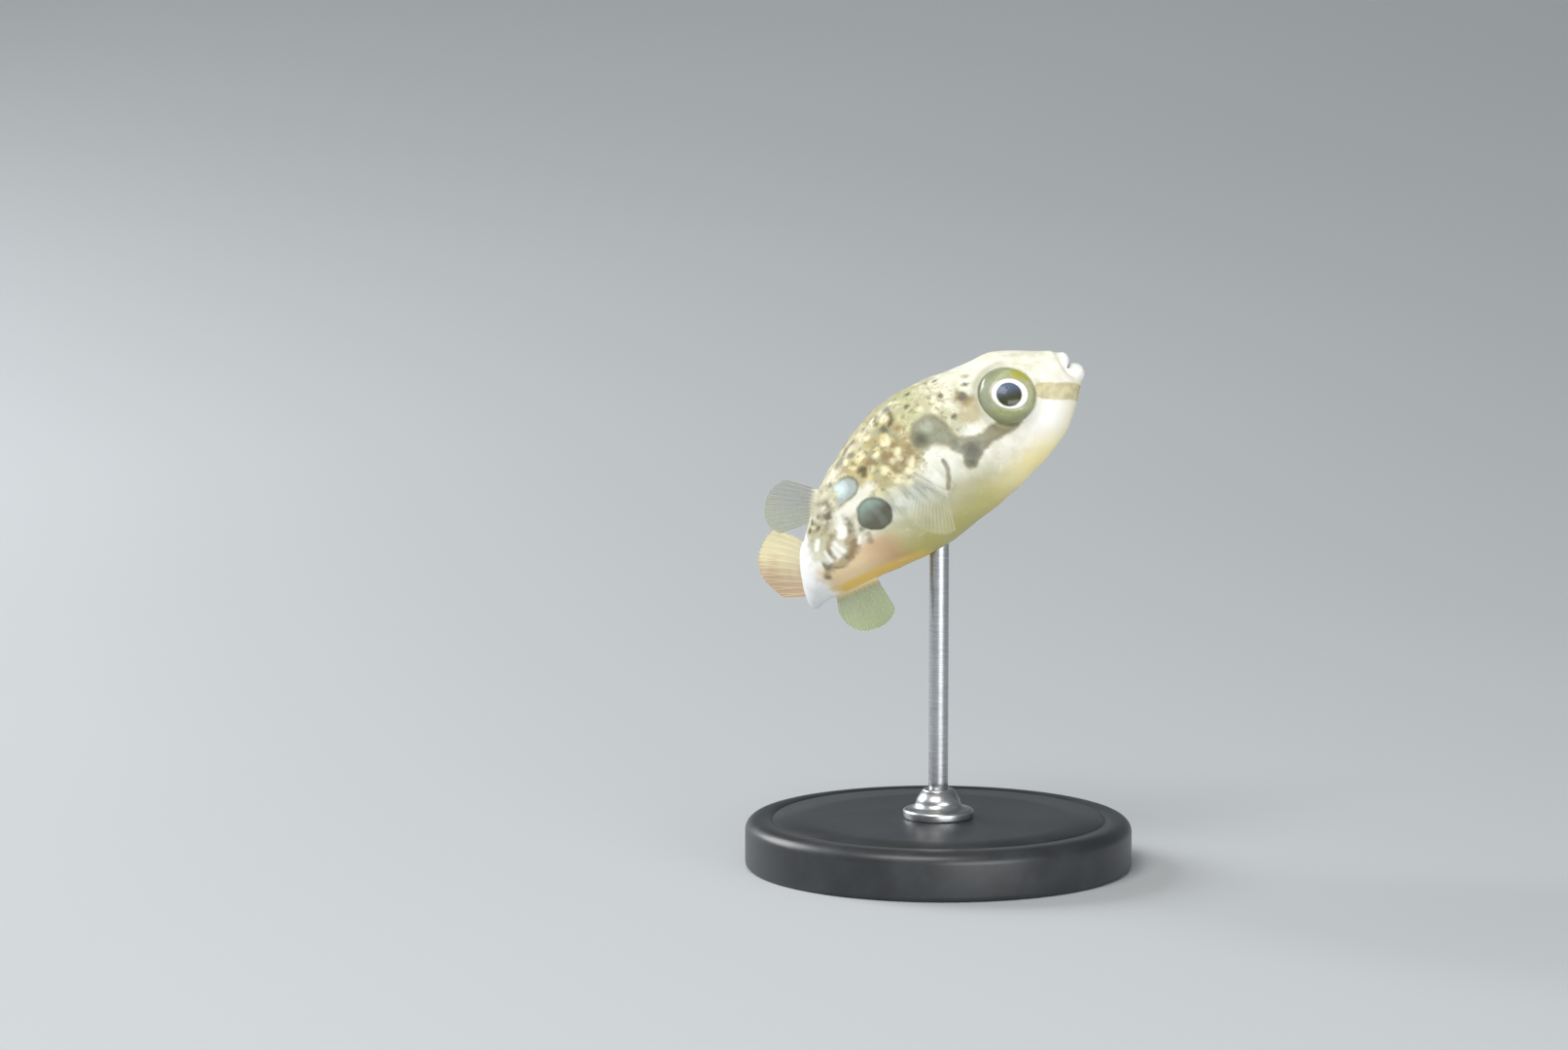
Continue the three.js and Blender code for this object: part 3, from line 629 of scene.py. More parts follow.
markings = {  # spots are (at, up, radius); smooth and plain strokes are runs of (at, up, half width)
    "moustache": {
        "smooth": [[(10.3, 2.6, 0.64), (9.95, 2.72, 0.82), (9.55, 2.62, 0.86), (9.25, 2.15, 0.62),
             (9.15, 1.6, 0.42), (9.02, 1.0, 0.36), (8.76, 0.54, 0.46), (8.45, 0.08, 0.68),
             (9.08, -0.52, 0.42)],
            [(8.45, 0.08, 0.6), (7.79, -0.08, 0.45), (6.95, -0.14, 0.42), (6.15, -0.36, 0.46),
             (5.4, -0.66, 0.36)]],
    },
    "darkPart": {"spots": [(10.37, 2.56, 0.38), (9.05, 1.0, 0.1), (8.55, -0.02, 0.5), (9.12, -0.52, 0.3)]},
    "paleCore": {"spots": [(9.6, 2.86, 0.32)]},
    "flankSpot": {"smooth": [[(15.44, 0.58, 1.0), (15.56, 0.38, 0.98)]]},
    "pearl": {
        "smooth": [[(15.98, 3.18, 0.4), (15.5, 2.85, 0.48), (15.75, 2.7, 0.54), (16.45, 2.38, 0.28)]],
    },
    "pearlCore": {"spots": [(16.02, 2.92, 0.3)]},
    "freckle": {
        "spots": [(10.64, 5.04, 0.21), (11.58, 4.4, 0.22), (11.68, 4.84, 0.15), (14.13, 4.29, 0.24),
            (14.25, 3.2, 0.27), (14.33, 2.92, 0.19), (16.31, 3.58, 0.15), (7.73, 3.56, 0.15),
            (9.07, 4.81, 0.14), (6.08, 2.99, 0.17), (6.72, 2.66, 0.29), (17.51, 2.05, 0.19),
            (18.62, 2.37, 0.14), (19.12, 2.09, 0.14), (18.32, 1.82, 0.12), (7.96, 2.15, 0.14),
            (7.29, 4.24, 0.12), (7.79, 4.48, 0.11), (12.52, 5.02, 0.15), (9.64, 4.47, 0.09)],
        "plain": [[(10.66, 4.8, 0.12), (10.84, 4.5, 0.15), (11.24, 4.38, 0.12)],
            [(11.3, 5.14, 0.09), (11.62, 5.02, 0.11)],
            [(13.49, 4.86, 0.16), (14.03, 4.74, 0.14), (14.45, 4.56, 0.13)],
            [(14.75, 4.42, 0.24), (15.15, 4.3, 0.2)]],
    },
    "smudge": {
        "spots": [(15.03, 4.25, 0.34), (13.39, 4.75, 0.26), (12.35, 3.01, 0.34), (12.05, 2.28, 0.34),
            (11.48, 2.51, 0.36), (12.62, 2.13, 0.32), (11.14, 2.7, 0.3), (11.85, 3.4, 0.36),
            (12.65, 3.15, 0.36), (13.6, 3.3, 0.36), (5.75, 3.25, 0.22), (10.9, 3.95, 0.26),
            (16.88, 0.6, 0.16)],
        "smooth": [[(6.72, 3.1, 0.16), (6.98, 2.74, 0.3), (6.82, 2.38, 0.36), (6.5, 2.24, 0.32)]],
    },
    "creamDot": {
        "spots": [(11.28, 4.85, 0.21), (13.62, 3.94, 0.22), (13.02, 3.5, 0.22), (11.9, 2.92, 0.2),
            (12.1, 2.58, 0.16), (13.19, 2.45, 0.25), (12.99, 1.51, 0.25), (12.18, 1.54, 0.22),
            (12.55, 1.01, 0.2), (12.05, 3.72, 0.24), (12.55, 2.62, 0.14), (13.75, 2.95, 0.16),
            (17.41, 2.66, 0.16), (18.66, 2.06, 0.14), (11.55, 2.05, 0.14)],
    },
    "stalkBar": {
        "plain": [[(17.6, 3.12, 0.08), (17.12, 2.86, 0.1), (17.14, 2.35, 0.14), (17.51, 2.05, 0.19),
             (17.95, 2.4, 0.15)],
            [(18.66, 2.4, 0.1), (18.36, 2.05, 0.1), (18.45, 1.76, 0.09), (19.1, 1.98, 0.1)],
            [(16.9, 0.82, 0.16), (17.16, 0.2, 0.22), (17.28, -0.2, 0.3), (17.62, -0.62, 0.28),
             (18.0, -0.82, 0.26), (18.55, -0.86, 0.22), (18.95, -0.62, 0.15), (19.12, -0.24, 0.1)],
            [(19.05, -0.74, 0.09), (19.32, -1.05, 0.14)], [(16.84, 1.43, 0.04), (16.78, 0.97, 0.05)],
            [(16.57, 0.29, 0.06), (16.58, -0.26, 0.07), (16.64, -0.79, 0.1)],
            [(17.95, 0.86, 0.12), (18.24, 0.62, 0.13), (18.46, 0.02, 0.12), (18.44, -0.4, 0.08)],
            [(17.74, 1.7, 0.12), (18.1, 1.4, 0.11)]],
    },
    "glint": {
        "plain": [[(17.34, 0.8, 0.24), (17.46, 0.56, 0.26)], [(18.02, 0.44, 0.06), (17.88, -0.35, 0.08)],
            [(18.25, 0.25, 0.06), (18.22, -0.42, 0.08)], [(18.69, 0.3, 0.04), (18.65, -0.38, 0.05)],
            [(16.91, -0.19, 0.05), (17.08, -0.47, 0.06)], [(18.8, 1.15, 0.16), (19.05, 0.8, 0.16)]],
    },
    "paleGap": {
        "smooth": [[(14.6, 2.05, 0.3), (15.2, 1.95, 0.32), (16.24, 1.6, 0.34), (16.94, 1.55, 0.3),
             (17.3, 1.1, 0.22)]],
    },
    "tanPatch": {"smooth": [[(7.45, 1.8, 0.4), (7.1, 1.45, 0.42), (6.75, 1.75, 0.36)]]},
    "headBand": {"smooth": [[(3.35, 2.6, 0.1), (2.7, 2.05, 0.12), (1.9, 1.3, 0.1)]]},
}
leftShift = (0.25, 0.15, 0.0)  # marks on the left flank sit a little further back and up
joinRounding = 0.25  # for the smooth strokes
chinStripe = [(2.95, -0.5, 0.5), (2.25, -1.3, 0.54), (1.55, -2.05, 0.52), (1.35, -2.55, 0.5)]
zones = {  # each is a product of ramps, 0 at the first number and 1 at the second
    "back": [("level", 0.02, 0.42), ("at", 5.4, 8.6)],
    "netZone": [("at", 9.8, 11.4), ("at", 16.6, 14.8), ("up", 0.9, 1.9)],
    "stalk": [("at", 14.8, 17.0), ("level", -0.30, 0.10)],
    "forehead": [("level", -0.1, 0.5), ("at", 9.5, 5.6)],
    "peach": [("at", 14.2, 16.8), ("at", 21.8, 20.2), ("level", 0.02, -0.45)],
    "golden": [("level", -0.74, -0.98), ("at", 13.4, 15.6), ("at", 21.6, 20.6)],
    "yellow": [("level", -0.36, -0.80)],
    "rearward": [("at", 16.0, 18.6)],
    # painted highlight: the stalk's rear end, painted white
    "stalkEndHighlight": [("at", 18.7, 21.1)],
    "armTone": [("at", 8.1, 6.9)],
}


def toMark(points, mark):
    # least distance to any of a mark's spots and strokes, on either flank
    reaches = []
    for side, shift in ((-1, (0, 0, 0)), (1, leftShift)):
        if "spots" in mark:
            reaches.append(toSpots(points, np.add(mark["spots"], shift), side))
        for kind, blend in (("smooth", joinRounding), ("plain", 0)):
            reaches += [toStroke(points, np.add(run, shift), side, blend) for run in mark.get(kind, [])]
    return np.minimum.reduce(reaches)


def orbitShade(points, side):
    # a bell-shaped ring round the eye, stronger behind and above it
    middle, ahead, over, sight = eyeAxes(side)
    local = points - middle
    x, y = local @ ahead / eye["radius"], local @ over / eye["radius"]
    rear = smooth(0.68 * y - 0.73 * x, -0.3, 0.7)
    return bell(np.hypot(x, y) - 1.06, 0.18) * smooth(local @ sight, -1.4, -0.9) * (0.30 + 0.70 * rear)


def markFields(points):
    # distances to the outlines of the marks, and soft weights for each colour of ground
    at, across, up = np.moveaxis(points, -1, 0)
    axis = axisHeight(at)
    level = (up - axis) / np.where(up > axis, backHeight(at), bellyDepth(at))  # -1 at belly, 1 at back
    fields = {name: toMark(points, mark) for name, mark in markings.items()}
    axes = {"at": at, "up": up, "level": level}
    for name, ramps in zones.items():
        fields[name] = np.prod([smooth(axes[axis], low, high) for axis, low, high in ramps], axis=0)
    fields["netZone"] *= 1 - 0.6 * smooth(level, 0.78, 0.95)
    fields["yellow"] *= bell(at - 5.2, 3.6)
    fields["cheek"] = bell(np.hypot(at - 3.6, (up + 1.9) * 1.1), 1.9)
    # painted shade and painted reflection of green plants: the lower flank's share of an olive tint
    fields["olive"] = (smooth(level + 0.20 * smooth(at, 11.0, 8.5), 0.12, -0.32)
                       * smooth(at, 6.0, 10.0) * smooth(at, 17.6, 15.4))
    fields["greyFlank"] = bell(at - 12.8, 2.9) * bell(level + 0.12, 0.48)
    fields["glow"] = np.maximum(bell(np.hypot(at - 10.4, up - 1.45), 1.15),
                                bell(np.hypot(at - 7.75, up - 0.80), 0.55))
    fields["pearlLow"] = smooth(-0.8 * (at - 15.75) - 0.6 * (up - 2.85), -0.35, 0.35)
    fields["orbit"] = np.maximum(orbitShade(points, -1), orbitShade(points, 1))
    fields["chinStripe"] = toEither(points, chinStripe)
    fields["gill"] = toEither(points, relief["gill"])
    fields["straight"], fields["level"] = points, level
    return fields


markEdges = {  # distance where a mark starts and where it is full, then its share of the edge and fine noise
    "headBand": (0.3, -0.2, 1.0, 0), "smudge": (0.22, -0.3, 1.1, 0), "tanPatch": (0.3, -0.3, 1.3, 0),
    "creamDot": (0.2, -0.2, 1.1, 0), "paleGap": (0.28, -0.2, 0.7, 0), "stalkBar": (0.22, -0.16, 1.0, 0.12),
    "glint": (0.13, -0.08, 0.35, 0), "chinStripe": (0.08, -0.08, 0.35, 0), "gill": (0.2, 0.02, 0.3, 0),
    "freckle": (0.2, -0.14, 0.9, 0.12), "darkPart": (0.42, -0.35, 1.0, 0), "paleCore": (0.3, -0.4, 1.0, 0),
    "moustache": (0.2, -0.14, 0.6, 0.1), "moustacheRim": (-0.34, -0.04, 0.6, 0.1),
    "pearl": (0.04, -0.16, 0.45, 0), "pearlRim": (0.17, 0.02, 0.45, 0), "pearlCore": (0.42, -0.2, 1.0, 0),
    "flankSpot": (0.09, -0.08, 0.3, 0), "flankSpotRim": (-0.3, 0.0, 0.3, 0),
}
skinTints = {
    "belly": ("#dbd8c8", "#ece8da"), "greyFlank": ("#8f968a", "#d3d8cf"), "undersideShadeAndReflection": ("#b5b28e", "#b0aa5e"),
    "yellow": "#faea9f", "peach": ("#c29c76", "#ebcf9f"), "golden": "#ecc55c", "cheek": "#fbf9f1",
    "back": ("#bcbe96", "#d6d6b6"), "netGround": "#dccb98", "stalk": ("#c3c0a2", "#dad6c0"),
    "forehead": ("#e9e8cf", "#f5f4e6"), "glow": "#f1f2e6", "orbit": "#a9aa94", "headBand": "#cfcfbc",
    "net": ("#a89a70", "#96947a"), "stalkNet": "#a09a88", "cell": "#f5ebc2", "speck": "#868263",
    "smudge": "#96845f", "tanPatch": "#b3a47c", "creamDot": "#f8f0cd", "paleGap": "#eeede0",
    "stalkEndHighlight": "#ffffff", "stalkBar": ("#94805f", "#7d7a69"), "glint": "#fcfcf5",
    "chinStripe": ("#bdb084", "#d1c89b"), "gill": "#857a5f", "freckle": ("#5e573e", "#686554"),
    "moustache": ("#92947e", "#565749"), "paleCore": "#b9c3b2", "arm": ("#85855c", "#726746"),
    "mottle": "#6d6954", "moustacheRim": "#857a5b", "pearl": ("#aeb8b6", "#d8e9ea"), "pearlRim": "#7a7a68",
    "flankSpot": ("#57564a", "#62655b"), "sheen": "#a3bab0", "flankSpotRim": "#474a3f",
    "lip": "#f8f8f3", "throat": "#4a2e28",
}


def skinFinish():
    paint = Finish("wet_skin")
    step, mix, over, noise, field = paint.step, paint.mix, paint.over, paint.noise, paint.attribute
    straight = field("straight", "Vector")
    coarse = noise(straight, 0.55, 2) - 0.5
    middling = noise(straight, 1.6, 3, 0.6)
    fine = noise(straight, 4.5, 3, 0.6)
    edge = (noise(straight, 2.6, 1.5, 0.45) - 0.5) * 0.46
    folds = noise(paint.stretch(straight, (1.0, 1.0, 0.28)), 1.9, 2)

    def mark(name, source=None):  # 1 inside a mark and 0 outside, with its edge moved by noise
        starts, full, edgeShare, fineShare = markEdges[name]
        distance = field(source or name) + edge * edgeShare
        if fineShare:
            distance = distance + (fine - 0.5) * fineShare
        return step(distance, starts, full)

    def pair(name, value, low, high):  # a pair's first tint where the value is low, then its second
        return paint.between(value, low, high, *skinTints[name])

    def laid(name, share):
        return share, skinTints[name]

    # ground colours, from the belly upwards
    ground = over(
        pair("belly", middling, 0.35, 0.65),
        (field("greyFlank"), pair("greyFlank", folds, 0.36, 0.62)),
        # painted shade and painted reflection of green plants: the lower flank tinted olive, greener towards
        # the belly
        ((field("olive") + coarse * 0.25 * field("olive")) * 0.9,
         pair("undersideShadeAndReflection", field("level"), -0.25, -0.85)),
        laid("yellow", field("yellow") * 0.95),
        (step(field("peach") + coarse * 0.4, 0.15, 1.0) * 0.85, mix(field("rearward"), *skinTints["peach"])),
        laid("golden", step(field("golden") + coarse * 0.3, 0.15, 0.9) * 0.8),
        laid("cheek", field("cheek")),
        (field("back"), pair("back", coarse, -0.1, 0.1)),
        laid("netGround", field("netZone") * field("back") * 0.75),
        (field("stalk") * 0.85, pair("stalk", coarse, -0.1, 0.1)),
        (field("forehead") * 0.9, pair("forehead", middling, 0.38, 0.60)),
        laid("glow", field("glow") * 0.9),
        laid("orbit", field("orbit") * 0.7),
        laid("headBand", mark("headBand") * 0.5))

    # net over the back: soft brown-grey gaps between cream cells, thinned by a slow noise
    drift = paint.node("ShaderNodeTexNoise", {}, {"Vector": straight, "Scale": 0.8, "Detail": 1.0}, "Color")
    moved = paint.node("ShaderNodeVectorMath", {"operation": "ADD"}, {0: straight, 1: drift}, "Vector")
    cell = paint.cells(moved, 1.45)
    weight = (field("netZone") * 0.52 + 0.48) * (field("back") + field("forehead") * 0.12)
    weight = weight * (0.45 + step(coarse, -0.12, 0.10) * 0.55)
    net = step(cell + (fine - 0.5) * 0.30, 0.30, 0.62)
    netTint = over(pair("net", noise(straight, 1.0, 2), 0.42, 0.58), laid("stalkNet", field("stalk") * 0.7))
    specks = step(noise(straight, 2.6, 3, 0.6), 0.52, 0.67)

    # tail stalk's broken bars, then the moustache, the pearl and the round spot, each with its own tones
    broken = 0.60 + step(noise(straight, 1.8, 1), 0.38, 0.60) * 0.38
    # painted highlight: the stalk's rear end is painted pure white on both flanks, as if a light shone on it
    stalkEndHighlight = step(field("stalkEndHighlight") + edge * 1.6 + coarse * 0.8, 0.10, 0.85) * 0.97
    dark = over(
        mix(mark("darkPart"), *skinTints["moustache"]),
        laid("paleCore", mark("paleCore") * 0.8),
        (field("armTone") * 0.9, mix(middling, *skinTints["arm"])),
        laid("mottle", step(middling + (fine - 0.5) * 0.4, 0.46, 0.66) * 0.45),
        laid("moustacheRim", mark("moustacheRim", "moustache") * 0.5))
    spotTone = over(
        pair("flankSpot", folds, 0.40, 0.60),
        laid("sheen", step(field("level") * 2.6 + coarse * 1.0, 0.18, 1.0) * 0.72),
        laid("flankSpotRim", mark("flankSpotRim", "flankSpot") * 0.55))

    colour = over(
        ground,
        ((net * weight * 1.05).least(0.9), netTint),
        laid("cell", step(cell + (middling - 0.5) * 0.5, 0.40, 0.06) * weight * 0.7),
        laid("speck", specks * (weight * 0.6 + field("back") * 0.42).least(0.75)),
        laid("smudge", mark("smudge") * (0.66 + middling * 0.6)),
        laid("tanPatch", mark("tanPatch") * (0.45 + middling * 0.60)),
        laid("creamDot", mark("creamDot") * 0.75),
        laid("paleGap", mark("paleGap") * 0.85),
        laid("stalkEndHighlight", stalkEndHighlight),
        (mark("stalkBar") * broken, pair("stalkBar", coarse, -0.08, 0.08)),
        laid("glint", mark("glint") * 0.8),
        (mark("chinStripe") * 0.85, pair("chinStripe", middling, 0.35, 0.65)),
        # painted shade: a dark line along the gill slit's crease
        laid("gill", mark("gill") * 0.72),
        (mark("freckle") * 0.92, pair("freckle", coarse, -0.1, 0.1)),
        (mark("moustache") * 0.93, dark),
        laid("pearlRim", mark("pearlRim", "pearl") * (0.10 + field("pearlLow") * 0.65)),
        (mark("pearl") * 0.95, mix(mark("pearlCore"), *skinTints["pearl"])),
        (mark("flankSpot") * 0.96, spotTone),
        laid("lip", field("lip")),
        # the inside of the mouth: its own colour darkened by painted shade to a deep red-brown
        laid("throat", field("throat")))

    prickles = step(paint.cells(straight, 3.1, 0.8), 0.16, 0.02) * step(field("level"), 0.25, -0.15)
    height = fine * 0.5 + middling * 0.3 + prickles * 0.35 - net * weight * 0.1
    return paint.surface({
        "Base Color": colour, "Roughness": 0.34 + fine * 0.16, "IOR": 1.4, "Specular IOR Level": 0.22,
        "Subsurface Weight": 0.12, "Subsurface Radius": (1.0, 0.7, 0.5), "Subsurface Scale": 0.5 * mm,
        "Coat Weight": 0.10, "Coat Roughness": 0.16, "Normal": paint.bump(height, 0.35, 0.06),
    })


def skinPiece():
    plain = skinGrid()
    fields = markFields(plain)
    rows = np.arange(len(plain))[:, None] + 0 * plain[..., 0]
    fields["lip"] = smooth(rows, *mouth["lipRows"][:2]) * smooth(rows, *mouth["lipRows"][2:])
    fields["throat"] = smooth(rows, *mouth["throatRows"])
    return tubePiece("fish_skin", posed(bent(shapeSkin(plain))), fields, skinFinish())


fins = {  # rays lean in degrees from the first to the last, and losses shorten the outer ones
    "rootDepth": 0.55, "membrane": 0.022, "scallop": 0.022, "perRay": 12, "rows": 44, "marginRounding": 2.4,
    "flareReach": 0.45, "fork": 0.20, "rayWidth": 0.13, "tipNarrowing": 0.03,
    "dorsal": {
        "edge": 1, "from": 17.2, "to": 19.8, "firstRay": 40, "lastRay": 72, "length": 3.75,
        "peak": 0.5, "frontLoss": 0.33, "rearLoss": 0.3, "rays": 11, "rayThick": 0.036, "flare": 0.20,
        "ripple": 0.10, "waves": (5.0, 0.8),
    },
    "anal": {
        "edge": -1, "from": 17.9, "to": 20.4, "firstRay": -3, "lastRay": 22, "length": 3.0,
        "peak": 0.35, "frontLoss": 0.22, "rearLoss": 0.6, "rays": 10, "rayThick": 0.036, "flare": 0.20,
        "ripple": 0.10, "waves": (5.0, 0.8),
    },
    "caudal": {
        "rootAt": 23.0, "rootHalf": 1.6, "firstRay": 14, "lastRay": -1, "length": 6.7,
        "peak": 0.5, "frontLoss": 0.26, "rearLoss": 0.26, "rays": 10, "rayThick": 0.018, "flare": 0.26,
        "ripple": 0.14, "waves": (7.0, 0.5), "curl": 0.28,
    },
    "pectoral": {
        "topAt": 12.0, "topUp": 1.3, "bottomAt": 11.3, "bottomUp": -0.7, "firstRay": -32, "lastRay": -58,
        "length": 3.3, "peak": 0.5, "frontLoss": 0.2, "rearLoss": 0.2, "rays": 13, "rayThick": 0.026,
        "flare": 0.06, "ripple": 0.10, "waves": (6.0, 1.0), "spread": 22,
    },
}


def rayShare(fin, u):
    # 1 at the longest ray, less a loss that grows as a power of the distance from it
    away = np.where(u < fin["peak"], (fin["peak"] - u) / fin["peak"], (u - fin["peak"]) / (1 - fin["peak"]))
    loss = np.where(u < fin["peak"], fin["frontLoss"], fin["rearLoss"])
    return 1 - loss * np.abs(away) ** fins["marginRounding"]


def rayPattern(fin, u, v):
    # how near a point is to a ray, 1 on it; the outer half of each ray forks in two
    aside = u * fin["rays"] % 1 - 0.5
    fork = fins["fork"] * smooth(v, 0.5, 1.0)
    width = fins["rayWidth"] - fins["tipNarrowing"] * v
    return np.maximum(bell(aside - fork, width), bell(aside + fork, width))


def finPiece(name, fin, sheetAt, material):
    # sheetAt(u, reach) is the fin's middle sheet: u goes across the rays, reach from flesh to margin
    columns = fin["rays"] * fins["perRay"] + 1
    u, v = np.meshgrid(np.linspace(0, 1, columns), np.linspace(0, 1, fins["rows"]) ** 0.85)
    near = rayPattern(fin, np.clip(u, 0, 0.9999), v)
    length = fin["length"] * rayShare(fin, u) * (1 - fins["scallop"] * (1 - near) * smooth(v, 0.8, 1.0))
    reach = -fins["rootDepth"] + (length + fins["rootDepth"]) * v
    inward = u * (1 - u)  # 0 at the first and last rays
    flare = fin["flare"] * np.exp(-np.maximum(reach, 0) / fins["flareReach"]) * smooth(inward, 0.0, 0.04)
    thin = 1 - 0.6 * smooth(reach / length, 0.2, 1.0)
    ray = fin["rayThick"] * near * thin * smooth(reach, 0.1, 1.3) * smooth(inward, 0, 0.003)
    half = (fins["membrane"] + ray + flare) * (1 - 0.7 * smooth(v, 0.93, 1.0))
    fields = {"finRay": near, "finReach": np.clip(reach / fin["length"], 0, 1), "finAlong": u}
    return sheetPiece(name, posed(sheetAt(u, reach)), half, fields, material)


def raySpread(fin, u, out):
    # each ray's lean, and a sideways wave: a sine across the rays that grows as the square of the reach
    lean = np.radians(fin["firstRay"] + (fin["lastRay"] - fin["firstRay"]) * u)[..., None]
    turns, start = fin["waves"]
    return lean, fin["ripple"] * np.sin(turns * u + start)[..., None] * (out / fin["length"]) ** 2


def midlineFin(name, fin, material):
    # rays leave the back or belly line and lean towards the tail
    tail, left, up = axesAt((fin["from"] + fin["to"]) / 2)
    height = backHeight if fin["edge"] > 0 else bellyDepth

    def sheetAt(u, reach):
        at = fin["from"] + (fin["to"] - fin["from"]) * u
        top = axisHeight(at) + fin["edge"] * (height(at) + np.minimum(reach, 0))
        out = np.maximum(reach, 0)[..., None]
        lean, wave = raySpread(fin, u, out)
        way = fin["edge"] * np.cos(lean) * up + np.sin(lean) * tail
        return bent(np.stack([at, 0 * at, top], -1)) + out * way + wave * left
    return finPiece(name, fin, sheetAt, material)


def tailFin(name, fin, material):
    # rays fan out behind the stalk and curl to one side as the square of the reach
    tail, left, up = axesAt(fin["rootAt"])

    def sheetAt(u, reach):
        root = bent(np.stack([fin["rootAt"] + 0 * u, 0 * u, fin["rootHalf"] * (1 - 2 * u)], -1))
        out = reach[..., None]
        lean, wave = raySpread(fin, u, out)
        way = np.cos(lean) * tail + np.sin(lean) * up
        return root + out * way + (wave - fin["curl"] * out ** 2 / fin["length"]) * left
    return finPiece(name, fin, sheetAt, material)


def flankFin(name, fin, side, material):
    # rays leave a slanting line on the flank, back and down, spread outwards by one angle
    tail, left, up = axesAt(fin["topAt"])

    def sheetAt(u, reach):
        at = fin["topAt"] + (fin["bottomAt"] - fin["topAt"]) * u
        root = bent(onFlank(at, fin["topUp"] + (fin["bottomUp"] - fin["topUp"]) * u, side))
        out = reach[..., None]
        lean, wave = raySpread(fin, u, out)
        way = tail * np.cos(lean) + up * np.sin(lean) + left * side * np.tan(np.radians(fin["spread"]))
        return root + out * way / np.linalg.norm(way, axis=-1, keepdims=True) + side * wave * left
    return finPiece(name, fin, sheetAt, material)


finLooks = {  # tints of membrane, rays, root and rear edge, then how solid the membrane is and how rays show
    "clear_fin": ("#9fa196", "#c2c4b4", "#ebe7d2", "#b0b596", 0.34, 0.30, 0.50),
    "green_fin": ("#9aa66c", "#b1ba86", "#dcc8a0", "#abb680", 0.46, 0.12, 0.24),
    "side_fin": ("#cbccbe", "#dfe1d6", "#e9e6d4", "#d3d5c8", 0.06, 0.08, 0.50),
    "tail_fin": ("#f2e8b8", "#f3e6c0", "#f6f2e2", "#cfae84", 0.62, 0.14, 0.25),
}


def finFinish(name):
    membrane, rayTint, rootTint, edgeTint, solid, raySolid, rayCover = finLooks[name]
    paint = Finish(name)
    ray, reach, across = map(paint.attribute, ("finRay", "finReach", "finAlong"))
    cloud = paint.noise(paint.objectPlace(), 0.9, 3)
    spot = paint.node("ShaderNodeCombineXYZ", {}, {"X": reach, "Y": across * 0.05}, "Vector")
    joints = paint.node("ShaderNodeTexWave", {"wave_type": "BANDS", "bands_direction": "X"},
                        {"Vector": spot, "Scale": 14.0, "Distortion": 0.4}, "Fac")
    rays = paint.step(ray, 0.25, 0.8)
    rootShare = paint.step(reach, 0.22, 0.02)
    colour = paint.over(
        paint.between(across + (cloud - 0.5) * 0.5, 0.25, 0.8, membrane, edgeTint),
        (rays * (rayCover + joints * 0.2), rayTint),
        (rootShare, rootTint))
    alpha = (solid + rays * raySolid + rootShare * 0.6 + (cloud - 0.5) * 0.2).least(1.0)
    return paint.surface({
        "Base Color": colour, "Roughness": 0.34, "Alpha": alpha, "IOR": 1.38, "Coat Weight": 0.3,
        "Coat Roughness": 0.15, "Normal": paint.bump(rays * 0.7 + joints * rays * 0.3, 0.15, 0.04),
    })


stand = {
    "radius": 12.0, "height": 3.0, "shoulder": 0.75, "foot": 0.35, "groove": (10.35, 0.16, 0.12),
    "bossHeight": 1.8, "bossRadius": 2.2, "rodRadius": 0.6, "rodTop": 21.6, "rodEndRounding": 0.12,
    "pole": 0.02,  # radius of the ring that each profile starts and ends on
}


def arc(radius, height, size, first, last, count=9):
    # part of a circle in a profile, between two turns in degrees
    turn = np.radians(np.linspace(first, last, count))
    return np.stack([radius + size * np.cos(turn), height + size * np.sin(turn)], -1)


def baseProfile():
    # underside, rounded foot, straight wall, rounded shoulder, then the top with one fine groove
    r, h, top, foot = stand["radius"], stand["height"], stand["shoulder"], stand["foot"]
    middle, half, deep = stand["groove"]
    groove = [(1, 0), (0.5, 0.8), (0, 1), (-0.5, 0.8), (-1, 0)]  # shares of its half width and depth
    return np.concatenate([
        [(stand["pole"], 0.0), (4.0, 0.0), (8.0, 0.0)],
        arc(r - foot, foot, foot, -90, 0), arc(r - top, h - top, top, 0, 90),
        [(middle + half * aside, h - deep * down) for aside, down in groove],
        [(8.0, h), (5.0, h), (2.6, h), (stand["pole"], h)]])


def bossProfile():
    # a short collar, a waist and a neck round the rod
    h, r, neck = stand["height"], stand["bossRadius"], stand["rodRadius"] * 1.5
    top = h + stand["bossHeight"]
    return np.concatenate([
        [(stand["pole"], h - 0.05), (r - 0.15, h - 0.05)],
        arc(r - 0.15, h + 0.12, 0.15, -90, 0, 5), arc(r - 0.2, h + 0.38, 0.2, 0, 90, 6),
        arc(r * 0.75 + 0.55, h + 1.13, 0.55, -90, -180, 8) - [0.30, 0], [(neck + 0.1, top - 0.1)],
        arc(neck, top - 0.1, 0.1, 0, 90, 4), [(stand["rodRadius"] * 0.9, top), (stand["pole"], top)]])


def rodProfile():
    # a straight shaft from inside the collar to a rounded end in the belly
    h, r, end = stand["height"] + stand["bossHeight"] - 0.3, stand["rodRadius"], stand["rodEndRounding"]
    shaft = np.linspace(h, stand["rodTop"] - 0.15, 24)
    return np.concatenate([
        [(stand["pole"], h)], np.stack([r + 0 * shaft, shaft], -1),
        arc(r - end, stand["rodTop"] - end, end, 20, 90, 4), [(stand["pole"], stand["rodTop"])]])


def paintFinish():
    paint = Finish("satin_black_paint")
    spot = paint.objectPlace()
    peel, dust = paint.noise(spot, 1.6, 3, 0.55), paint.noise(spot, 0.35, 4, 0.6)
    return paint.surface({
        "Base Color": paint.between(dust, 0.35, 0.75, "#26282b", "#34373a"), "Roughness": 0.34 + dust * 0.16,
        "Coat Weight": 0.15, "Coat Roughness": 0.25, "Normal": paint.bump(peel, 0.12, 0.05),
    })


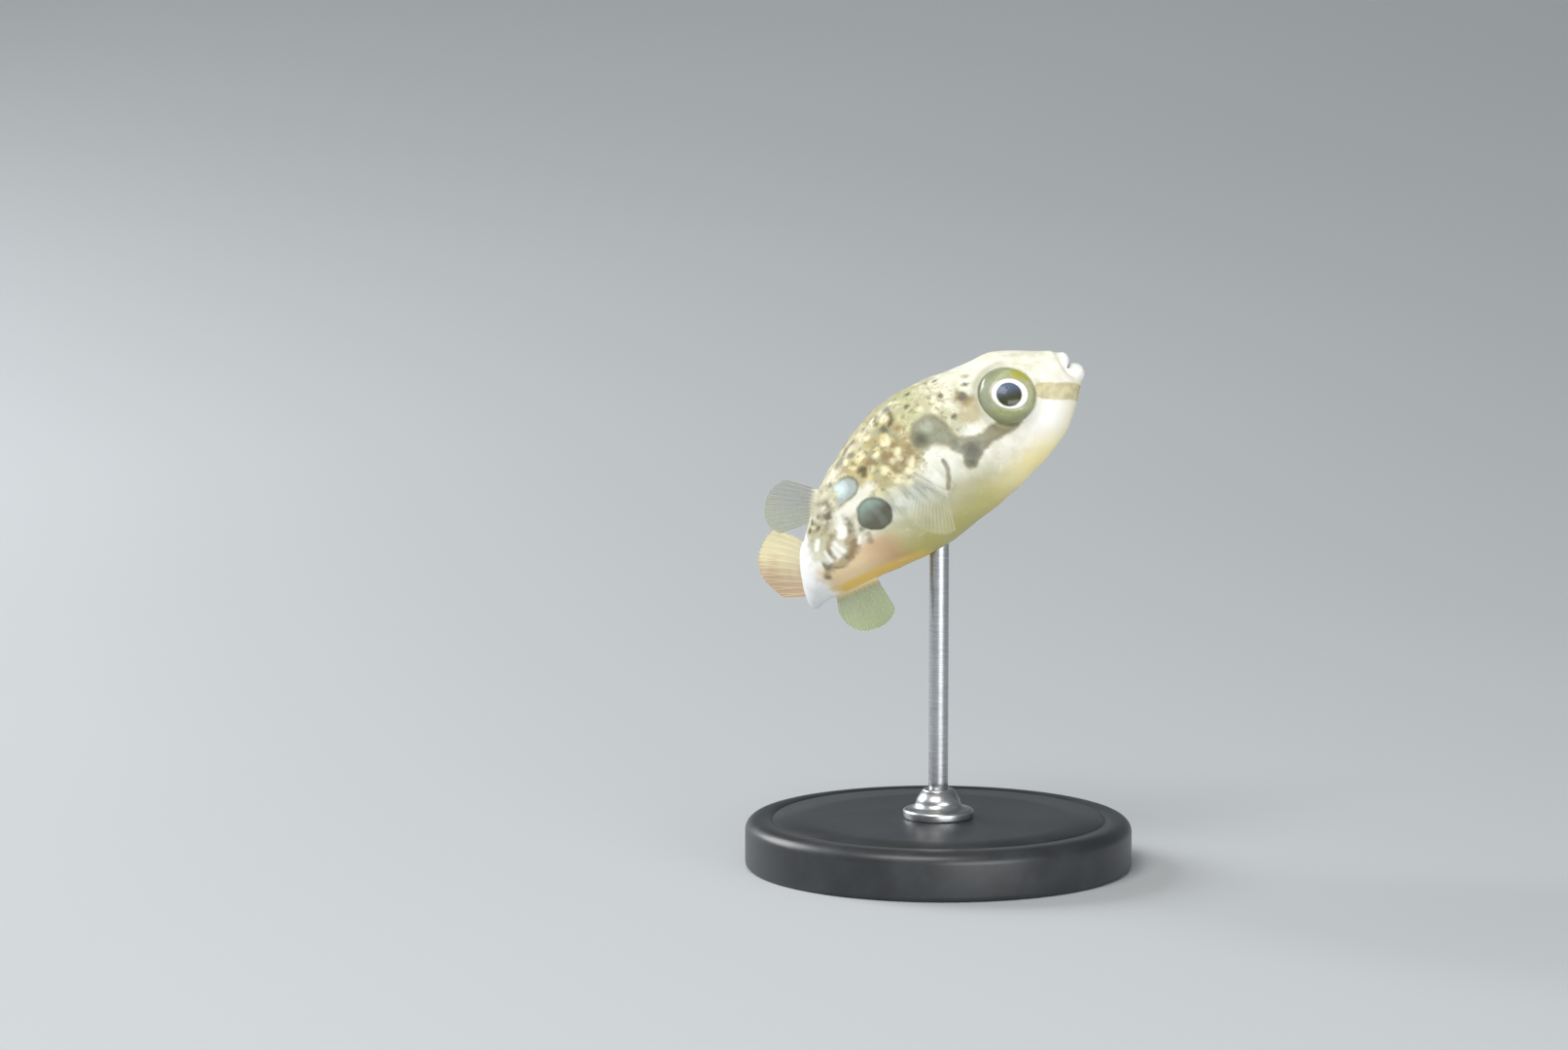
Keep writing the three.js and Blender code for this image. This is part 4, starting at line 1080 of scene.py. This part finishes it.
def steelFinish():
    paint = Finish("brushed_steel")
    spot = paint.objectPlace()
    rings = paint.noise(paint.stretch(spot, (0.6, 0.6, 14.0)), 2.0, 3, 0.7)
    cloud = paint.noise(spot, 0.7, 2)
    return paint.surface({
        "Base Color": paint.between(rings, 0.3, 0.7, "#a9abae", "#cfd1d3"), "Metallic": 1.0,
        "Roughness": 0.24 + rings * 0.14 + cloud * 0.06, "Normal": paint.bump(rings, 0.15, 0.02),
    })


backdrop = {"front": -1200, "bendStart": 120, "bendRadius": 900, "top": 1600, "halfWidth": 1800}


def backdropPiece():
    # a flat floor, a quarter circle and an upright wall, carried straight across
    start, radius = backdrop["bendStart"], backdrop["bendRadius"]
    floor = np.linspace(backdrop["front"], start, 30)
    turn = np.linspace(0, np.pi / 2, 40)[1:]
    wall = np.linspace(radius, backdrop["top"], 10)[1:]
    depth = np.concatenate([floor, start + radius * np.sin(turn), start + radius + 0 * wall])[:, None]
    height = np.concatenate([0 * floor, radius - radius * np.cos(turn), wall])[:, None]
    width = np.linspace(-backdrop["halfWidth"], backdrop["halfWidth"], 25)
    points = np.stack([width + 0 * depth, depth + 0 * width, height + 0 * width], -1).reshape(-1, 3)
    quads, corners = gridFaces(len(depth), len(width), False)
    paint = Finish("pale_backdrop")
    shade = paint.noise(paint.node("ShaderNodeTexCoord", {}, {}, "Object"), 3.0, 2)
    colour = paint.between(shade, 0.3, 0.7, "#b9bdc0", "#bfc3c6")
    material = paint.surface({"Base Color": colour, "Roughness": 0.85, "Specular IOR Level": 0.2})
    meshPiece("backdrop", points, [quads], [corners], {}, material)


aimCamera()
hangLamps()
backdropPiece()
print("studio ready")

place(skinPiece(), "skin", "head", "trunk", "tail_stalk", "lip_upper", "lip_lower")
wetEye = eyeFinish()
place(eyePiece("eyeball_right", -1, wetEye), "eye", "eye_right")
place(eyePiece("eyeball_left", 1, wetEye), "eye", "eye_left")

place(midlineFin("dorsal_fin", fins["dorsal"], finFinish("clear_fin")), "fin", "fin_dorsal")
place(midlineFin("anal_fin", fins["anal"], finFinish("green_fin")), "fin", "fin_anal")
place(tailFin("tail_fin", fins["caudal"], finFinish("tail_fin")), "tail_fin", "fin_caudal")
sideFin = finFinish("side_fin")
place(flankFin("pectoral_right", fins["pectoral"], -1, sideFin), "fin", "fin_pectoral_right")
place(flankFin("pectoral_left", fins["pectoral"], 1, sideFin), "fin", "fin_pectoral_left")

steel = steelFinish()
place(turnedPiece("base_disc", baseProfile(), 192, paintFinish()), "stand_paint", "stand_base")
place(turnedPiece("rod_collar", bossProfile(), 128, steel), "stand_steel", "stand_boss")
place(turnedPiece("rod", rodProfile(), 64, steel), "stand_steel", "stand_rod")
